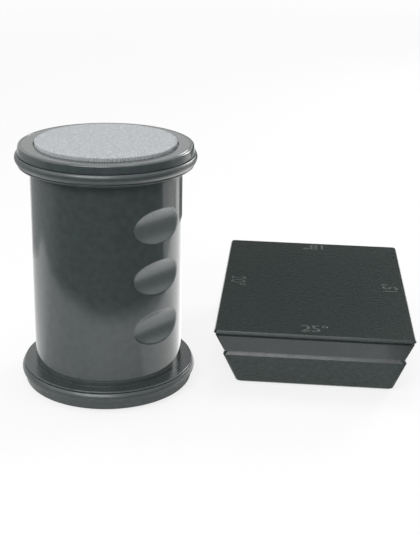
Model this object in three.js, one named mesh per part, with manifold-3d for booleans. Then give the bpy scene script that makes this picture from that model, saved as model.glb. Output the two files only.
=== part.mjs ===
// Rolling knife sharpener: a roller that stands on one end, and the magnetic angle block that holds the blade.
// Millimetres, +Z up. The origin is the middle of the roller's lower face, on the surface it stands on.
import * as THREE from "three";
import { mergeVertices } from "three/addons/utils/BufferGeometryUtils.js";
import Module from "manifold-3d";

const wasm = await Module();
wasm.setup();

// Roller: the sizes that set its outline
const TYRE_DIAMETER = 60;
const HANDLE_DIAMETER = 50.4;
const HANDLE_LENGTH = 66;
const WHEEL_GAP = 1.9; // air between the handle and each wheel
const PLATE_PROUD = 1; // how far each plate stands out of its wheel

// Wheel rim, from its outer face inwards
const BAND_WIDTH = 2.7;
const SEAT_WIDTH = 3.35; // the groove that the tyre sits in
const LIP_WIDTH = 0.55;
const BAND_DROP = 0.85; // how far the band's inner edge lies below the tyre
const BAND_FLARE = 0.4; // how much smaller the band is at the outer face
const LIP_DROP = 0.95;
const SEAT_DEPTH = 1.6; // from the lip down to the tyre's seat
const EDGE_ROUND = 0.5;
const LIP_CHAMFER = 0.2;
const FACE_LAND = 5; // flat ring of the outer face, outside the plate

// Tyre
const TYRE_SIDE_GAP = 0.35; // dark line between the band and the tyre
const TYRE_LIP_GAP = 0.2;
const TYRE_SHOULDER_DROP = 0.55;
const TYRE_CROWN_DROP = 0.8;
const TYRE_CREST_SHARE = 0.3; // where the crest lies, from the band to the lip

// Plates, the pads that bond them, and what clamps each wheel to the axle
const PLATE_THICKNESS = 1.5;
const PLATE_GAP = 0.35;
const PLATE_CHAMFER = 0.15;
const PAD_THICKNESS = 0.5;
const PAD_INSET = 0.8;
const HUB_WEB = 3; // wheel material that the screw clamps
const HEAD_CLEARANCE = 0.2; // screw head below the pad
const SCREW_HEAD_RADIUS = 4.6;
const SCREW_RADIUS = 2.3;
const SCREW_REACH = 9; // length of screw inside the axle
const SOCKET_RADIUS = 1.5;
const SOCKET_DEPTH = 0.8;
const WASHER_THICKNESS = 1;
const WASHER_MARGIN = 1.4; // washer beyond the screw head
const POCKET_GAP = 0.5; // room round the washer in its pocket
const AXLE_DIAMETER = 8;
const AXLE_RELIEF = 0.3; // axle end below the washer, so that the screw clamps
const AXLE_CHAMFER = 0.5;
const TAP_EXTRA = 2; // depth of the tapped hole past the screw
const SPACER_WALL = 1.5;

// Ball bearings
const BEARING_DIAMETER = 22;
const BEARING_WIDTH = 7;
const BEARING_INSET = 1; // below the end of the handle
const BALL_DIAMETER = 3.97;
const BALL_COUNT = 7;
const BALL_CLEARANCE = 0.14; // between a ball and its groove, and round it in the cage
const SHOULDER_SHARE = 0.38; // race shoulder from the pitch circle, as a share of the ball
const CAGE_HALF_SHARE = 0.27; // half of the cage's wall, as a share of the ball
const CAGE_BACK_SHARE = 0.25; // from the balls' middle back to the cage's open side, as a share of the ball
const CAGE_BRIDGE = 0.7; // ring that joins the cage's fingers past the balls

// Handle shell, its finger recesses and the bearing carriers inside it
const HANDLE_WALL = 2.4;
const HANDLE_ROUND = 0.8;
const RECESS_COUNT = 3;
const RECESS_PITCH = 17.5;
const RECESS_HEIGHT = 11.3;
const RECESS_DEPTH = 2;
const RECESS_OFFSET = 1.3; // middle recess above the middle of the handle
const RECESS_BEARING = 52; // degrees round from -Y towards +X
const CARRIER_INSET = 0.6;
const CARRIER_RIM = 2.2;
const CARRIER_RIM_DEPTH = 6;
const CARRIER_WEB = 2;
const CARRIER_BOSS = 2.4;
const CARRIER_LIP = 1.6; // shoulder behind the bearing
const CARRIER_LIP_DEPTH = 1.5;
const CARRIER_RIBS = 6;
const CARRIER_RIB_WIDTH = 1.6;

// Angle block: its top face, its height, and how far each wall leans out, in degrees
const BLOCK_WIDTH = 68;
const BLOCK_LENGTH = 94;
const BLOCK_HEIGHT = 24;
const BLOCK_X = 71.3;
const BLOCK_Y = 35;
const LEAN_FRONT = 25;
const LEAN_BACK = 18;
const LEAN_LEFT = 20;
const LEAN_RIGHT = 15;
const BLOCK_CORNER = 1.2;
const BLOCK_EDGE = 0.6;
const CAP_HEIGHT = 9.4; // from the top face down to the seam
const CAP_TOP = 2.2;
const LEDGE_HEIGHT = 1.9; // bevel of the lower shell under the seam
const LEDGE_PROUD = 0.3;
const SHELL_WALL = 2;
const SHELL_FLOOR = 2.2;
const SKIRT_WALL = 1.4;
const SKIRT_DEPTH = 3;
const SKIRT_GAP = 0.3;
const FOOT_PROUD = 0.5;
const FOOT_THICKNESS = 1;
const FOOT_INSET = 1.5;
const MAGNET_SKIN = 1; // plastic between a magnet and the blade
const MAGNET_GAP = 0.3;
const MAGNET_MARGIN = 0.3; // plastic left above and below the magnets, measured straight up
const MAGNET_SPACE = 4; // between the two magnets of a wall
const MAGNET_END = 13; // from a magnet's end to the wall's corner
const YOKE_THICKNESS = 1.2;
const POST_RADIUS = 3;
const POST_GAP = 0.8;
const BLOCK_SCREW_RADIUS = 1.4;
const BLOCK_SCREW_REACH = 8;
const BLOCK_HEAD_RADIUS = 2.6;
const BLOCK_HEAD_THICKNESS = 1.1;
const BALLAST_THICKNESS = 4;

// Clearances and overruns
const FIT = 0.1; // round a pin, a screw or a seat
const SEAT = 0.3; // between pieces that lie on a slope
const OVERRUN = 1; // by which a cutter passes the face it cuts, or a joined piece enters its neighbour
const MERGE = 1e-4; // vertices closer than this are one

// Facets round each kind of turned piece
const RIM_FACES = 44;
const BEARING_FACES = 24;
const SMALL_FACES = 12;
const BALL_FACES = 8;
const BALL_RINGS = 5;
const RECESS_FACES = 36;
const ARC_STEPS = 2;
const CORNER_STEPS = 2;
const GROOVE_STEPS = 3;

// Heights that follow from the sizes above
const TYRE_RADIUS = TYRE_DIAMETER / 2;
const HANDLE_RADIUS = HANDLE_DIAMETER / 2;
const WHEEL_WIDTH = BAND_WIDTH + SEAT_WIDTH + LIP_WIDTH;
const WHEEL_INNER = PLATE_PROUD + WHEEL_WIDTH;
const HANDLE_START = WHEEL_INNER + WHEEL_GAP;
const HANDLE_MIDDLE = HANDLE_START + HANDLE_LENGTH / 2;
const ROLLER_HEIGHT = 2 * HANDLE_MIDDLE;
const PLATE_SEAT = PLATE_THICKNESS + PAD_THICKNESS;
const POCKET_FLOOR = WHEEL_INNER - HUB_WEB;
const AXLE_START = POCKET_FLOOR + AXLE_RELIEF;
const BEARING_START = HANDLE_START + BEARING_INSET;
const BEARING_END = BEARING_START + BEARING_WIDTH;
const BEARING_MIDDLE = BEARING_START + BEARING_WIDTH / 2;

// Radii that follow from the sizes above
const BAND_RADIUS = TYRE_RADIUS - BAND_DROP;
const FACE_RADIUS = BAND_RADIUS - BAND_FLARE;
const LIP_RADIUS = TYRE_RADIUS - LIP_DROP;
const SEAT_RADIUS = LIP_RADIUS - SEAT_DEPTH;
const PLATE_POCKET_RADIUS = FACE_RADIUS - FACE_LAND;
const PLATE_RADIUS = PLATE_POCKET_RADIUS - PLATE_GAP;
const PAD_RADIUS = PLATE_RADIUS - PAD_INSET;
const WASHER_RADIUS = SCREW_HEAD_RADIUS + WASHER_MARGIN;
const POCKET_RADIUS = WASHER_RADIUS + POCKET_GAP;
const AXLE_RADIUS = AXLE_DIAMETER / 2;
const AXLE_BORE = AXLE_RADIUS + FIT;
const SPACER_RADIUS = AXLE_BORE + SPACER_WALL;
const BEARING_RADIUS = BEARING_DIAMETER / 2;
const BALL_RADIUS = BALL_DIAMETER / 2;
const PITCH_RADIUS = (BEARING_RADIUS + AXLE_RADIUS) / 2;
const GROOVE_RADIUS = BALL_RADIUS + BALL_CLEARANCE;
const SHOULDER = SHOULDER_SHARE * BALL_DIAMETER;
const HANDLE_BORE = HANDLE_RADIUS - HANDLE_WALL;
const CARRIER_RADIUS = HANDLE_BORE - FIT;
const CARRIER_POCKET = BEARING_RADIUS + FIT;
const BOSS_RADIUS = CARRIER_POCKET + CARRIER_BOSS;
const RECESS_RADIUS = (RECESS_HEIGHT ** 2 / 4 + RECESS_DEPTH ** 2) / (2 * RECESS_DEPTH);

// Block heights
const SEAM = BLOCK_HEIGHT - CAP_HEIGHT;
const SHELL_BOTTOM = FOOT_PROUD;
const FLOOR_UNDER = FOOT_THICKNESS;
const FLOOR_TOP = FLOOR_UNDER + SHELL_FLOOR;
const CAP_UNDER = BLOCK_HEIGHT - CAP_TOP;
const CAP_WALL = SHELL_WALL + SKIRT_GAP + SKIRT_WALL;
const MAGNET_THICKNESS = CAP_WALL - MAGNET_SKIN - MAGNET_GAP;
const YOKE_START = CAP_WALL + SEAT;
const YOKE_END = YOKE_START + YOKE_THICKNESS;

const finish = (color, roughness, metalness = 0) => new THREE.MeshStandardMaterial({ color, roughness, metalness });
const FINISHES = {
  handle: () => finish(0x3f4745, 0.3),
  wheel: () => finish(0x434b4a, 0.35),
  tyre: () => finish(0x3a4140, 0.45),
  block: () => finish(0x343d3b, 0.6),
  carrier: () => finish(0x2a2d2e, 0.6),
  diamond: () => finish(0xbcc0c4, 0.5, 0.6),
  honing: () => finish(0xb4b8bc, 0.3, 0.9),
  steel: () => finish(0xa9adb1, 0.3, 1),
  cage: () => finish(0xcbb98a, 0.5),
  bond: () => finish(0xe2e0d8, 0.8),
  magnet: () => finish(0x8f9396, 0.35, 0.9),
  foot: () => finish(0x1f2122, 0.9),
};

const model = new THREE.Group();

// Adds a geometry to the model as one named piece.
function piece(name, geometry, look) {
  geometry.computeVertexNormals();
  const mesh = new THREE.Mesh(geometry, FINISHES[look]());
  mesh.name = name;
  model.add(mesh);
}

// A closed geometry as a solid for joining and cutting.
function solid(geometry) {
  const bare = geometry.clone();
  bare.deleteAttribute("normal");
  bare.deleteAttribute("uv");
  const merged = mergeVertices(bare, MERGE);
  return new wasm.Manifold(
    new wasm.Mesh({
      numProp: 3,
      vertProperties: new Float32Array(merged.attributes.position.array),
      triVerts: new Uint32Array(merged.index.array),
    }),
  );
}

// A solid back as a geometry.
function shape(body) {
  const mesh = body.getMesh();
  return new THREE.BufferGeometry()
    .setAttribute("position", new THREE.BufferAttribute(mesh.vertProperties, 3))
    .setIndex(new THREE.BufferAttribute(mesh.triVerts, 1));
}

// Points on an arc of an outline, from one angle to another in degrees.
function arc(radius, height, size, from, to, steps = ARC_STEPS) {
  return Array.from({ length: steps + 1 }, (_, i) => {
    const angle = THREE.MathUtils.degToRad(from + ((to - from) * i) / steps);
    return [radius + size * Math.cos(angle), height + size * Math.sin(angle)];
  });
}

// Twice the area that an outline of [radius, height] points encloses, positive when it runs anticlockwise.
function turning(outline) {
  return outline.reduce((sum, [r, z], i) => {
    const [nextR, nextZ] = outline[(i + 1) % outline.length];
    return sum + r * nextZ - nextR * z;
  }, 0);
}

// A piece turned about the Z axis from an outline of [radius, height] points.
function turned(outline, faces) {
  const run = turning(outline) > 0 ? [...outline] : [...outline].reverse();
  const onAxis = run.findIndex(([r], i) => r === 0 && run[(i + run.length - 1) % run.length][0] === 0);
  if (onAxis >= 0) run.unshift(...run.splice(onAxis));
  else run.push(run[0]);
  const points = run.map(([r, z]) => new THREE.Vector2(r, z));
  return new THREE.LatheGeometry(points, faces).rotateX(Math.PI / 2);
}

// A plain round bar along Z, from one height to another.
function bar(radius, from, to, faces = SMALL_FACES) {
  return turned([[0, from], [radius, from], [radius, to], [0, to]], faces);
}

// A rectangular box between two corners.
function box(low, high) {
  const size = high.map((value, i) => value - low[i]);
  const middle = high.map((value, i) => (value + low[i]) / 2);
  return new THREE.BoxGeometry(...size).translate(...middle);
}

// The two ends of the roller are mirror images: an outline of the lower one, flipped for the upper one.
const ENDS = {
  lower: (outline) => outline,
  upper: (outline) => outline.map(([r, z]) => [r, ROLLER_HEIGHT - z]),
};

// Wheel: band, tyre seat and lip round a disc with a pocket for the plate and one for the screw.
function wheelOutline() {
  const face = PLATE_PROUD;
  const seatStart = face + BAND_WIDTH;
  const seatEnd = seatStart + SEAT_WIDTH;
  return [
    [AXLE_BORE, WHEEL_INNER],
    [AXLE_BORE, POCKET_FLOOR],
    [POCKET_RADIUS, POCKET_FLOOR],
    [POCKET_RADIUS, PLATE_SEAT],
    [PLATE_POCKET_RADIUS, PLATE_SEAT],
    [PLATE_POCKET_RADIUS, face],
    ...arc(FACE_RADIUS - EDGE_ROUND, face + EDGE_ROUND, EDGE_ROUND, -90, 0),
    [BAND_RADIUS, seatStart],
    [SEAT_RADIUS, seatStart],
    [SEAT_RADIUS, seatEnd],
    [LIP_RADIUS, seatEnd],
    [LIP_RADIUS, WHEEL_INNER - LIP_CHAMFER],
    [LIP_RADIUS - LIP_CHAMFER, WHEEL_INNER],
  ];
}

// Tyre: a rubber ring whose crest lies near the band and falls away towards the lip.
function tyreOutline() {
  const start = PLATE_PROUD + BAND_WIDTH + TYRE_SIDE_GAP;
  const end = PLATE_PROUD + BAND_WIDTH + SEAT_WIDTH - TYRE_LIP_GAP;
  const steps = 2 * ARC_STEPS;
  const crown = Array.from({ length: steps + 1 }, (_, i) => {
    const across = i / steps;
    const side = across < TYRE_CREST_SHARE ? TYRE_CREST_SHARE : 1 - TYRE_CREST_SHARE;
    const drop = across < TYRE_CREST_SHARE ? TYRE_SHOULDER_DROP : TYRE_CROWN_DROP;
    const away = (across - TYRE_CREST_SHARE) / side;
    return [TYRE_RADIUS - drop * away * away, start + (end - start) * across];
  });
  return [[SEAT_RADIUS + FIT, end], [SEAT_RADIUS + FIT, start], ...crown];
}

function plateOutline() {
  return [
    [0, PLATE_THICKNESS],
    [0, 0],
    [PLATE_RADIUS - PLATE_CHAMFER, 0],
    [PLATE_RADIUS, PLATE_CHAMFER],
    [PLATE_RADIUS, PLATE_THICKNESS],
  ];
}

function padOutline() {
  return [[0, PLATE_SEAT], [0, PLATE_THICKNESS], [PAD_RADIUS, PLATE_THICKNESS], [PAD_RADIUS, PLATE_SEAT]];
}

// Screw that clamps a wheel: a low head under the pad and a shank in the tapped end of the axle.
function screwOutline() {
  const headTop = PLATE_SEAT + HEAD_CLEARANCE;
  const headSeat = POCKET_FLOOR - WASHER_THICKNESS;
  const socketFloor = headTop + SOCKET_DEPTH;
  return [
    [0, AXLE_START + SCREW_REACH],
    [0, socketFloor],
    [SOCKET_RADIUS, socketFloor],
    [SOCKET_RADIUS, headTop],
    [SCREW_HEAD_RADIUS, headTop],
    [SCREW_HEAD_RADIUS, headSeat],
    [SCREW_RADIUS, headSeat],
    [SCREW_RADIUS, AXLE_START + SCREW_REACH],
  ];
}

function washerOutline() {
  const under = POCKET_FLOOR - WASHER_THICKNESS;
  const bore = SCREW_RADIUS + FIT;
  return [[bore, under], [WASHER_RADIUS, under], [WASHER_RADIUS, POCKET_FLOOR], [bore, POCKET_FLOOR]];
}

function tube(bore, radius, from, to) {
  return [[bore, from], [radius, from], [radius, to], [bore, to]];
}

// Axle: one bar through both bearings, tapped at each end.
function axleOutline() {
  const end = ROLLER_HEIGHT - AXLE_START;
  const bore = SCREW_RADIUS + FIT;
  const depth = SCREW_REACH + TAP_EXTRA;
  return [
    [0, AXLE_START + depth],
    [bore, AXLE_START + depth],
    [bore, AXLE_START],
    [AXLE_RADIUS - AXLE_CHAMFER, AXLE_START],
    [AXLE_RADIUS, AXLE_START + AXLE_CHAMFER],
    [AXLE_RADIUS, end - AXLE_CHAMFER],
    [AXLE_RADIUS - AXLE_CHAMFER, end],
    [bore, end],
    [bore, end - depth],
    [0, end - depth],
  ];
}

// A bearing race: a ring whose shoulder is hollowed by the ball groove. side is -1 for the inner race, 1 for the outer.
function raceOutline(side) {
  const shoulder = PITCH_RADIUS + side * SHOULDER;
  const back = side < 0 ? AXLE_BORE : BEARING_RADIUS;
  const half = THREE.MathUtils.radToDeg(Math.acos(SHOULDER / GROOVE_RADIUS));
  const facing = side < 0 ? 180 : 0;
  const groove = arc(PITCH_RADIUS, BEARING_MIDDLE, GROOVE_RADIUS, facing + side * half, facing - side * half, GROOVE_STEPS);
  return [
    [back, BEARING_START],
    [back, BEARING_END],
    [shoulder, BEARING_END],
    ...groove,
    [shoulder, BEARING_START],
  ];
}

// Places of the balls round a bearing, in degrees.
function ballAngles() {
  return Array.from({ length: BALL_COUNT }, (_, i) => (i * 360) / BALL_COUNT);
}

function ballAt(radius, angle, height) {
  const turn = THREE.MathUtils.degToRad(angle);
  return new THREE.SphereGeometry(radius, BALL_FACES, BALL_RINGS)
    .translate(PITCH_RADIUS, 0, 0)
    .rotateZ(turn)
    .translate(0, 0, height);
}

// Crown cage: a ring with a round pocket for each ball, joined past the balls on the side away from the wheel.
function cage(end) {
  const half = CAGE_HALF_SHARE * BALL_DIAMETER;
  const from = BEARING_MIDDLE - CAGE_BACK_SHARE * BALL_DIAMETER;
  const to = BEARING_MIDDLE + GROOVE_RADIUS + CAGE_BRIDGE;
  let ring = solid(turned(ENDS[end](tube(PITCH_RADIUS - half, PITCH_RADIUS + half, from, to)), BEARING_FACES));
  const [[, height]] = ENDS[end]([[PITCH_RADIUS, BEARING_MIDDLE]]);
  for (const angle of ballAngles()) ring = ring.subtract(solid(ballAt(GROOVE_RADIUS + FIT, angle, height)));
  return shape(ring);
}

// Cutters of the finger recesses: level bars, grown by the wall for the hollow behind them.
function recessCutters(growth) {
  const radius = RECESS_RADIUS + growth;
  const away = HANDLE_RADIUS - RECESS_DEPTH + RECESS_RADIUS;
  const bearing = THREE.MathUtils.degToRad(RECESS_BEARING);
  return Array.from({ length: RECESS_COUNT }, (_, i) => {
    const height = HANDLE_MIDDLE + RECESS_OFFSET + (i - (RECESS_COUNT - 1) / 2) * RECESS_PITCH;
    const cutter = bar(radius, -HANDLE_RADIUS, HANDLE_RADIUS, RECESS_FACES)
      .rotateY(Math.PI / 2)
      .translate(0, -away, height)
      .rotateZ(bearing);
    return solid(cutter);
  });
}

// Handle shell: an open tube with round ends, hollowed behind its finger recesses to an even wall.
function handleShell() {
  const end = HANDLE_START + HANDLE_LENGTH;
  const outside = [
    [0, HANDLE_START],
    ...arc(HANDLE_RADIUS - HANDLE_ROUND, HANDLE_START + HANDLE_ROUND, HANDLE_ROUND, -90, 0),
    ...arc(HANDLE_RADIUS - HANDLE_ROUND, end - HANDLE_ROUND, HANDLE_ROUND, 0, 90),
    [0, end],
  ];
  let body = solid(turned(outside, RIM_FACES));
  for (const cutter of recessCutters(0)) body = body.subtract(cutter);
  let hollow = solid(bar(HANDLE_BORE, HANDLE_START - OVERRUN, end + OVERRUN, RIM_FACES));
  for (const cutter of recessCutters(HANDLE_WALL)) hollow = hollow.subtract(cutter);
  return shape(body.subtract(hollow));
}

// Bearing carrier: rim, web, ribs and a boss whose pocket holds the bearing against a lip.
function carrier(end) {
  const face = HANDLE_START + CARRIER_INSET;
  const webTop = face + CARRIER_WEB;
  const rimTop = face + CARRIER_RIM_DEPTH;
  const bossTop = BEARING_END + CARRIER_LIP_DEPTH;
  const rimInner = CARRIER_RADIUS - CARRIER_RIM;
  const outline = [
    [CARRIER_POCKET, face],
    [CARRIER_RADIUS, face],
    [CARRIER_RADIUS, rimTop],
    [rimInner, rimTop],
    [rimInner, webTop],
    [BOSS_RADIUS, webTop],
    [BOSS_RADIUS, bossTop],
    [CARRIER_POCKET - CARRIER_LIP, bossTop],
    [CARRIER_POCKET - CARRIER_LIP, BEARING_END],
    [CARRIER_POCKET, BEARING_END],
  ];
  let body = solid(turned(ENDS[end](outline), RIM_FACES));
  const [[, low], [, high]] = ENDS[end]([[0, webTop], [0, rimTop]]);
  for (let i = 0; i < CARRIER_RIBS; i += 1) {
    const rib = box(
      [BOSS_RADIUS - CARRIER_BOSS / 2, -CARRIER_RIB_WIDTH / 2, Math.min(low, high) - CARRIER_WEB / 2],
      [rimInner + CARRIER_RIM / 2, CARRIER_RIB_WIDTH / 2, Math.max(low, high)],
    ).rotateZ((i * 2 * Math.PI) / CARRIER_RIBS);
    body = body.add(solid(rib));
  }
  for (const cutter of recessCutters(HANDLE_WALL + FIT)) body = body.subtract(cutter);
  return shape(body);
}

function roller() {
  piece("handle_shell", handleShell(), "handle");
  piece("axle", turned(axleOutline(), SMALL_FACES), "steel");
  const spacer = tube(AXLE_BORE, SPACER_RADIUS, BEARING_END, ROLLER_HEIGHT - BEARING_END);
  piece("axle_spacer", turned(spacer, SMALL_FACES), "steel");
  const hubSpacer = tube(AXLE_BORE, SPACER_RADIUS, WHEEL_INNER, BEARING_START);
  for (const [end, flip] of Object.entries(ENDS)) {
    piece(`${end}_bearing_carrier`, carrier(end), "carrier");
    piece(`${end}_outer_race`, turned(flip(raceOutline(1)), BEARING_FACES), "steel");
    piece(`${end}_inner_race`, turned(flip(raceOutline(-1)), BEARING_FACES), "steel");
    piece(`${end}_ball_cage`, cage(end), "cage");
    const [[, height]] = flip([[0, BEARING_MIDDLE]]);
    ballAngles().forEach((angle, i) => {
      piece(`${end}_ball_${i + 1}`, ballAt(BALL_RADIUS, angle, height), "steel");
    });
    piece(`${end}_hub_spacer`, turned(flip(hubSpacer), SMALL_FACES), "steel");
    piece(`${end}_wheel`, turned(flip(wheelOutline()), RIM_FACES), "wheel");
    piece(`${end}_tyre`, turned(flip(tyreOutline()), RIM_FACES), "tyre");
    piece(`${end}_washer`, turned(flip(washerOutline()), SMALL_FACES), "steel");
    piece(`${end}_hub_screw`, turned(flip(screwOutline()), SMALL_FACES), "steel");
    piece(`${end}_bond_pad`, turned(flip(padOutline()), BEARING_FACES), "bond");
  }
  piece("honing_plate", turned(ENDS.lower(plateOutline()), RIM_FACES), "honing");
  piece("abrasive_plate", turned(ENDS.upper(plateOutline()), RIM_FACES), "diamond");
}

// The block's four walls: the way each faces, its distance from the block's middle at the top, and its lean.
const WALLS = {
  right: { facing: [1, 0], reach: BLOCK_WIDTH / 2, lean: LEAN_RIGHT },
  back: { facing: [0, 1], reach: BLOCK_LENGTH / 2, lean: LEAN_BACK },
  left: { facing: [-1, 0], reach: BLOCK_WIDTH / 2, lean: LEAN_LEFT },
  front: { facing: [0, -1], reach: BLOCK_LENGTH / 2, lean: LEAN_FRONT },
};

// Distance of a wall from the block's middle at a height, moved in by inset square to the wall.
function wallReach({ reach, lean }, height, inset) {
  const angle = THREE.MathUtils.degToRad(lean);
  return reach - (BLOCK_HEIGHT - height) * Math.tan(angle) - inset / Math.cos(angle);
}

// Level outline of the block at a height: a rectangle between its leaning walls, with rounded corners.
function blockRing(height, inset, corner = BLOCK_CORNER) {
  const walls = Object.values(WALLS);
  return walls.flatMap((wall, i) => {
    const next = walls[(i + 1) % walls.length];
    const along = wallReach(wall, height, inset) - corner;
    const across = wallReach(next, height, inset) - corner;
    const x = BLOCK_X + along * wall.facing[0] + across * next.facing[0];
    const y = BLOCK_Y + along * wall.facing[1] + across * next.facing[1];
    return arc(x, y, corner, i * 90, (i + 1) * 90, CORNER_STEPS).map(([px, py]) => new THREE.Vector3(px, py, height));
  });
}

// A closed solid through level rings that all have the same number of points.
function loft(rings) {
  const count = rings[0].length;
  const positions = rings.flat().flatMap((point) => point.toArray());
  const index = [];
  const last = (rings.length - 1) * count;
  for (let i = 0; i < count; i += 1) {
    const next = (i + 1) % count;
    for (let start = 0; start < last; start += count) {
      index.push(start + i, start + next, start + count + next);
      index.push(start + i, start + count + next, start + count + i);
    }
    if (i > 0 && next > 0) index.push(0, next, i, last, last + i, last + next);
  }
  return new THREE.BufferGeometry()
    .setAttribute("position", new THREE.Float32BufferAttribute(positions, 3))
    .setIndex(index);
}

// A tapered block between two heights, its walls moved in by inset.
function taper(from, to, inset, corner) {
  return solid(loft([blockRing(from, inset, corner), blockRing(to, inset, corner)]));
}

// Middles of the four screw posts, just inside the shell's inner corners at the floor.
function postPlaces() {
  const room = POST_RADIUS + POST_GAP;
  const reachOf = (wall) => wallReach(wall, FLOOR_TOP, SHELL_WALL) - room;
  return [
    [BLOCK_X - reachOf(WALLS.left), BLOCK_Y - reachOf(WALLS.front)],
    [BLOCK_X + reachOf(WALLS.right), BLOCK_Y - reachOf(WALLS.front)],
    [BLOCK_X + reachOf(WALLS.right), BLOCK_Y + reachOf(WALLS.back)],
    [BLOCK_X - reachOf(WALLS.left), BLOCK_Y + reachOf(WALLS.back)],
  ];
}

// Height up a wall's slope that a magnet and its yoke find between the seam and the top face.
function slopeRoom({ lean }) {
  const angle = THREE.MathUtils.degToRad(lean);
  const room = CAP_UNDER - SEAM - 2 * MAGNET_MARGIN - (YOKE_END - MAGNET_SKIN) * Math.sin(angle);
  return room / Math.cos(angle);
}

// All the magnets are alike, so the wall that leans most sets their height.
function magnetHeight() {
  return Math.min(...Object.values(WALLS).map(slopeRoom));
}

// Height on a wall's outer face of the middle of its magnets.
function magnetMiddle({ lean }) {
  return (SEAM + CAP_UNDER - (MAGNET_SKIN + YOKE_END) * Math.sin(THREE.MathUtils.degToRad(lean))) / 2;
}

// A box that lies against a wall: its insets, its stretch along the wall, and how far it reaches up and down the slope.
function wallBox(wall, [startInset, endInset], [from, to], half) {
  const [fx, fy] = wall.facing;
  const height = magnetMiddle(wall);
  return box([from, startInset, -half], [to, endInset, half])
    .rotateX(THREE.MathUtils.degToRad(wall.lean))
    .translate(0, -wallReach(wall, height, 0), height)
    .rotateZ(Math.atan2(fx, -fy))
    .translate(BLOCK_X, BLOCK_Y, 0);
}

// The two magnets of a wall, as stretches along it either side of its middle at magnet height.
function magnetRuns(wall) {
  const [fx, fy] = wall.facing;
  const sides = Object.values(WALLS).filter(({ facing }) => facing[0] * fx + facing[1] * fy === 0);
  const along = ({ facing }) => Math.sign(fx * facing[1] - fy * facing[0]);
  const ends = sides.map((side) => along(side) * (wallReach(side, magnetMiddle(wall), 0) - MAGNET_END));
  const [low, high] = [Math.min(...ends), Math.max(...ends)];
  const middle = (low + high) / 2;
  return [[low, middle - MAGNET_SPACE / 2], [middle + MAGNET_SPACE / 2, high]];
}

// Cap: top face and upper walls, with a skirt inside the lower shell, magnet pockets and four screw posts.
function blockCap() {
  const edge = Array.from({ length: ARC_STEPS + 1 }, (_, i) => {
    const angle = (i * Math.PI) / 2 / ARC_STEPS;
    return blockRing(BLOCK_HEIGHT - BLOCK_EDGE * (1 - Math.sin(angle)), BLOCK_EDGE * (1 - Math.cos(angle)));
  });
  let body = solid(loft([blockRing(SEAM, 0), ...edge]));
  const skirtEnd = SEAM - SKIRT_DEPTH;
  body = body.add(taper(skirtEnd, SEAM + OVERRUN, SHELL_WALL + SKIRT_GAP));
  body = body.subtract(taper(skirtEnd - OVERRUN, CAP_UNDER, CAP_WALL));
  for (const wall of Object.values(WALLS)) {
    for (const [from, to] of magnetRuns(wall)) {
      const half = magnetHeight() / 2 + FIT;
      const pocket = wallBox(wall, [MAGNET_SKIN, CAP_WALL + OVERRUN], [from - FIT, to + FIT], half);
      body = body.subtract(solid(pocket));
    }
  }
  for (const [x, y] of postPlaces()) {
    const post = bar(POST_RADIUS, FLOOR_TOP, CAP_UNDER + CAP_TOP / 2).translate(x, y, 0);
    const pilot = bar(BLOCK_SCREW_RADIUS + FIT, FLOOR_TOP - OVERRUN, FLOOR_TOP + BLOCK_SCREW_REACH + FIT);
    body = body.add(solid(post)).subtract(solid(pilot.translate(x, y, 0)));
  }
  return shape(body);
}

// Lower shell: a tray whose top edge is bevelled under the seam, with a recess below for the foot.
function blockShell() {
  const walls = loft([
    blockRing(SHELL_BOTTOM, BLOCK_EDGE - LEDGE_PROUD),
    blockRing(SHELL_BOTTOM + BLOCK_EDGE, -LEDGE_PROUD),
    blockRing(SEAM - LEDGE_HEIGHT, -LEDGE_PROUD),
    blockRing(SEAM, 0),
  ]);
  let body = solid(walls).subtract(taper(FLOOR_TOP, SEAM + OVERRUN, SHELL_WALL));
  const recess = [blockRing(FLOOR_UNDER - OVERRUN, FOOT_INSET - SEAT), blockRing(FLOOR_UNDER, FOOT_INSET - SEAT)];
  body = body.subtract(solid(loft(recess)));
  const seat = FLOOR_UNDER + BLOCK_HEAD_THICKNESS;
  for (const [x, y] of postPlaces()) {
    const head = bar(BLOCK_HEAD_RADIUS + SEAT, FLOOR_UNDER - OVERRUN, seat).translate(x, y, 0);
    const hole = bar(BLOCK_SCREW_RADIUS + SEAT, FLOOR_UNDER - OVERRUN, FLOOR_TOP + OVERRUN).translate(x, y, 0);
    body = body.subtract(solid(head)).subtract(solid(hole));
  }
  return shape(body);
}

// Screw of the block, its head up inside the lower shell's counterbore.
function blockScrewOutline() {
  const seat = FLOOR_UNDER + BLOCK_HEAD_THICKNESS;
  return [
    [0, FLOOR_UNDER],
    [BLOCK_HEAD_RADIUS, FLOOR_UNDER],
    [BLOCK_HEAD_RADIUS, seat],
    [BLOCK_SCREW_RADIUS, seat],
    [BLOCK_SCREW_RADIUS, FLOOR_TOP + BLOCK_SCREW_REACH],
    [0, FLOOR_TOP + BLOCK_SCREW_REACH],
  ];
}

// Ballast: a steel slab on the floor of the shell, between the rows of posts.
function ballast() {
  const [[x0], [x1]] = postPlaces();
  const side = POST_RADIUS + POST_GAP;
  const front = BLOCK_Y - wallReach(WALLS.front, FLOOR_TOP, SHELL_WALL) + POST_GAP;
  const back = BLOCK_Y + wallReach(WALLS.back, FLOOR_TOP, SHELL_WALL) - POST_GAP;
  return box([x0 + side, front, FLOOR_TOP], [x1 - side, back, FLOOR_TOP + BALLAST_THICKNESS]);
}

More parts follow.
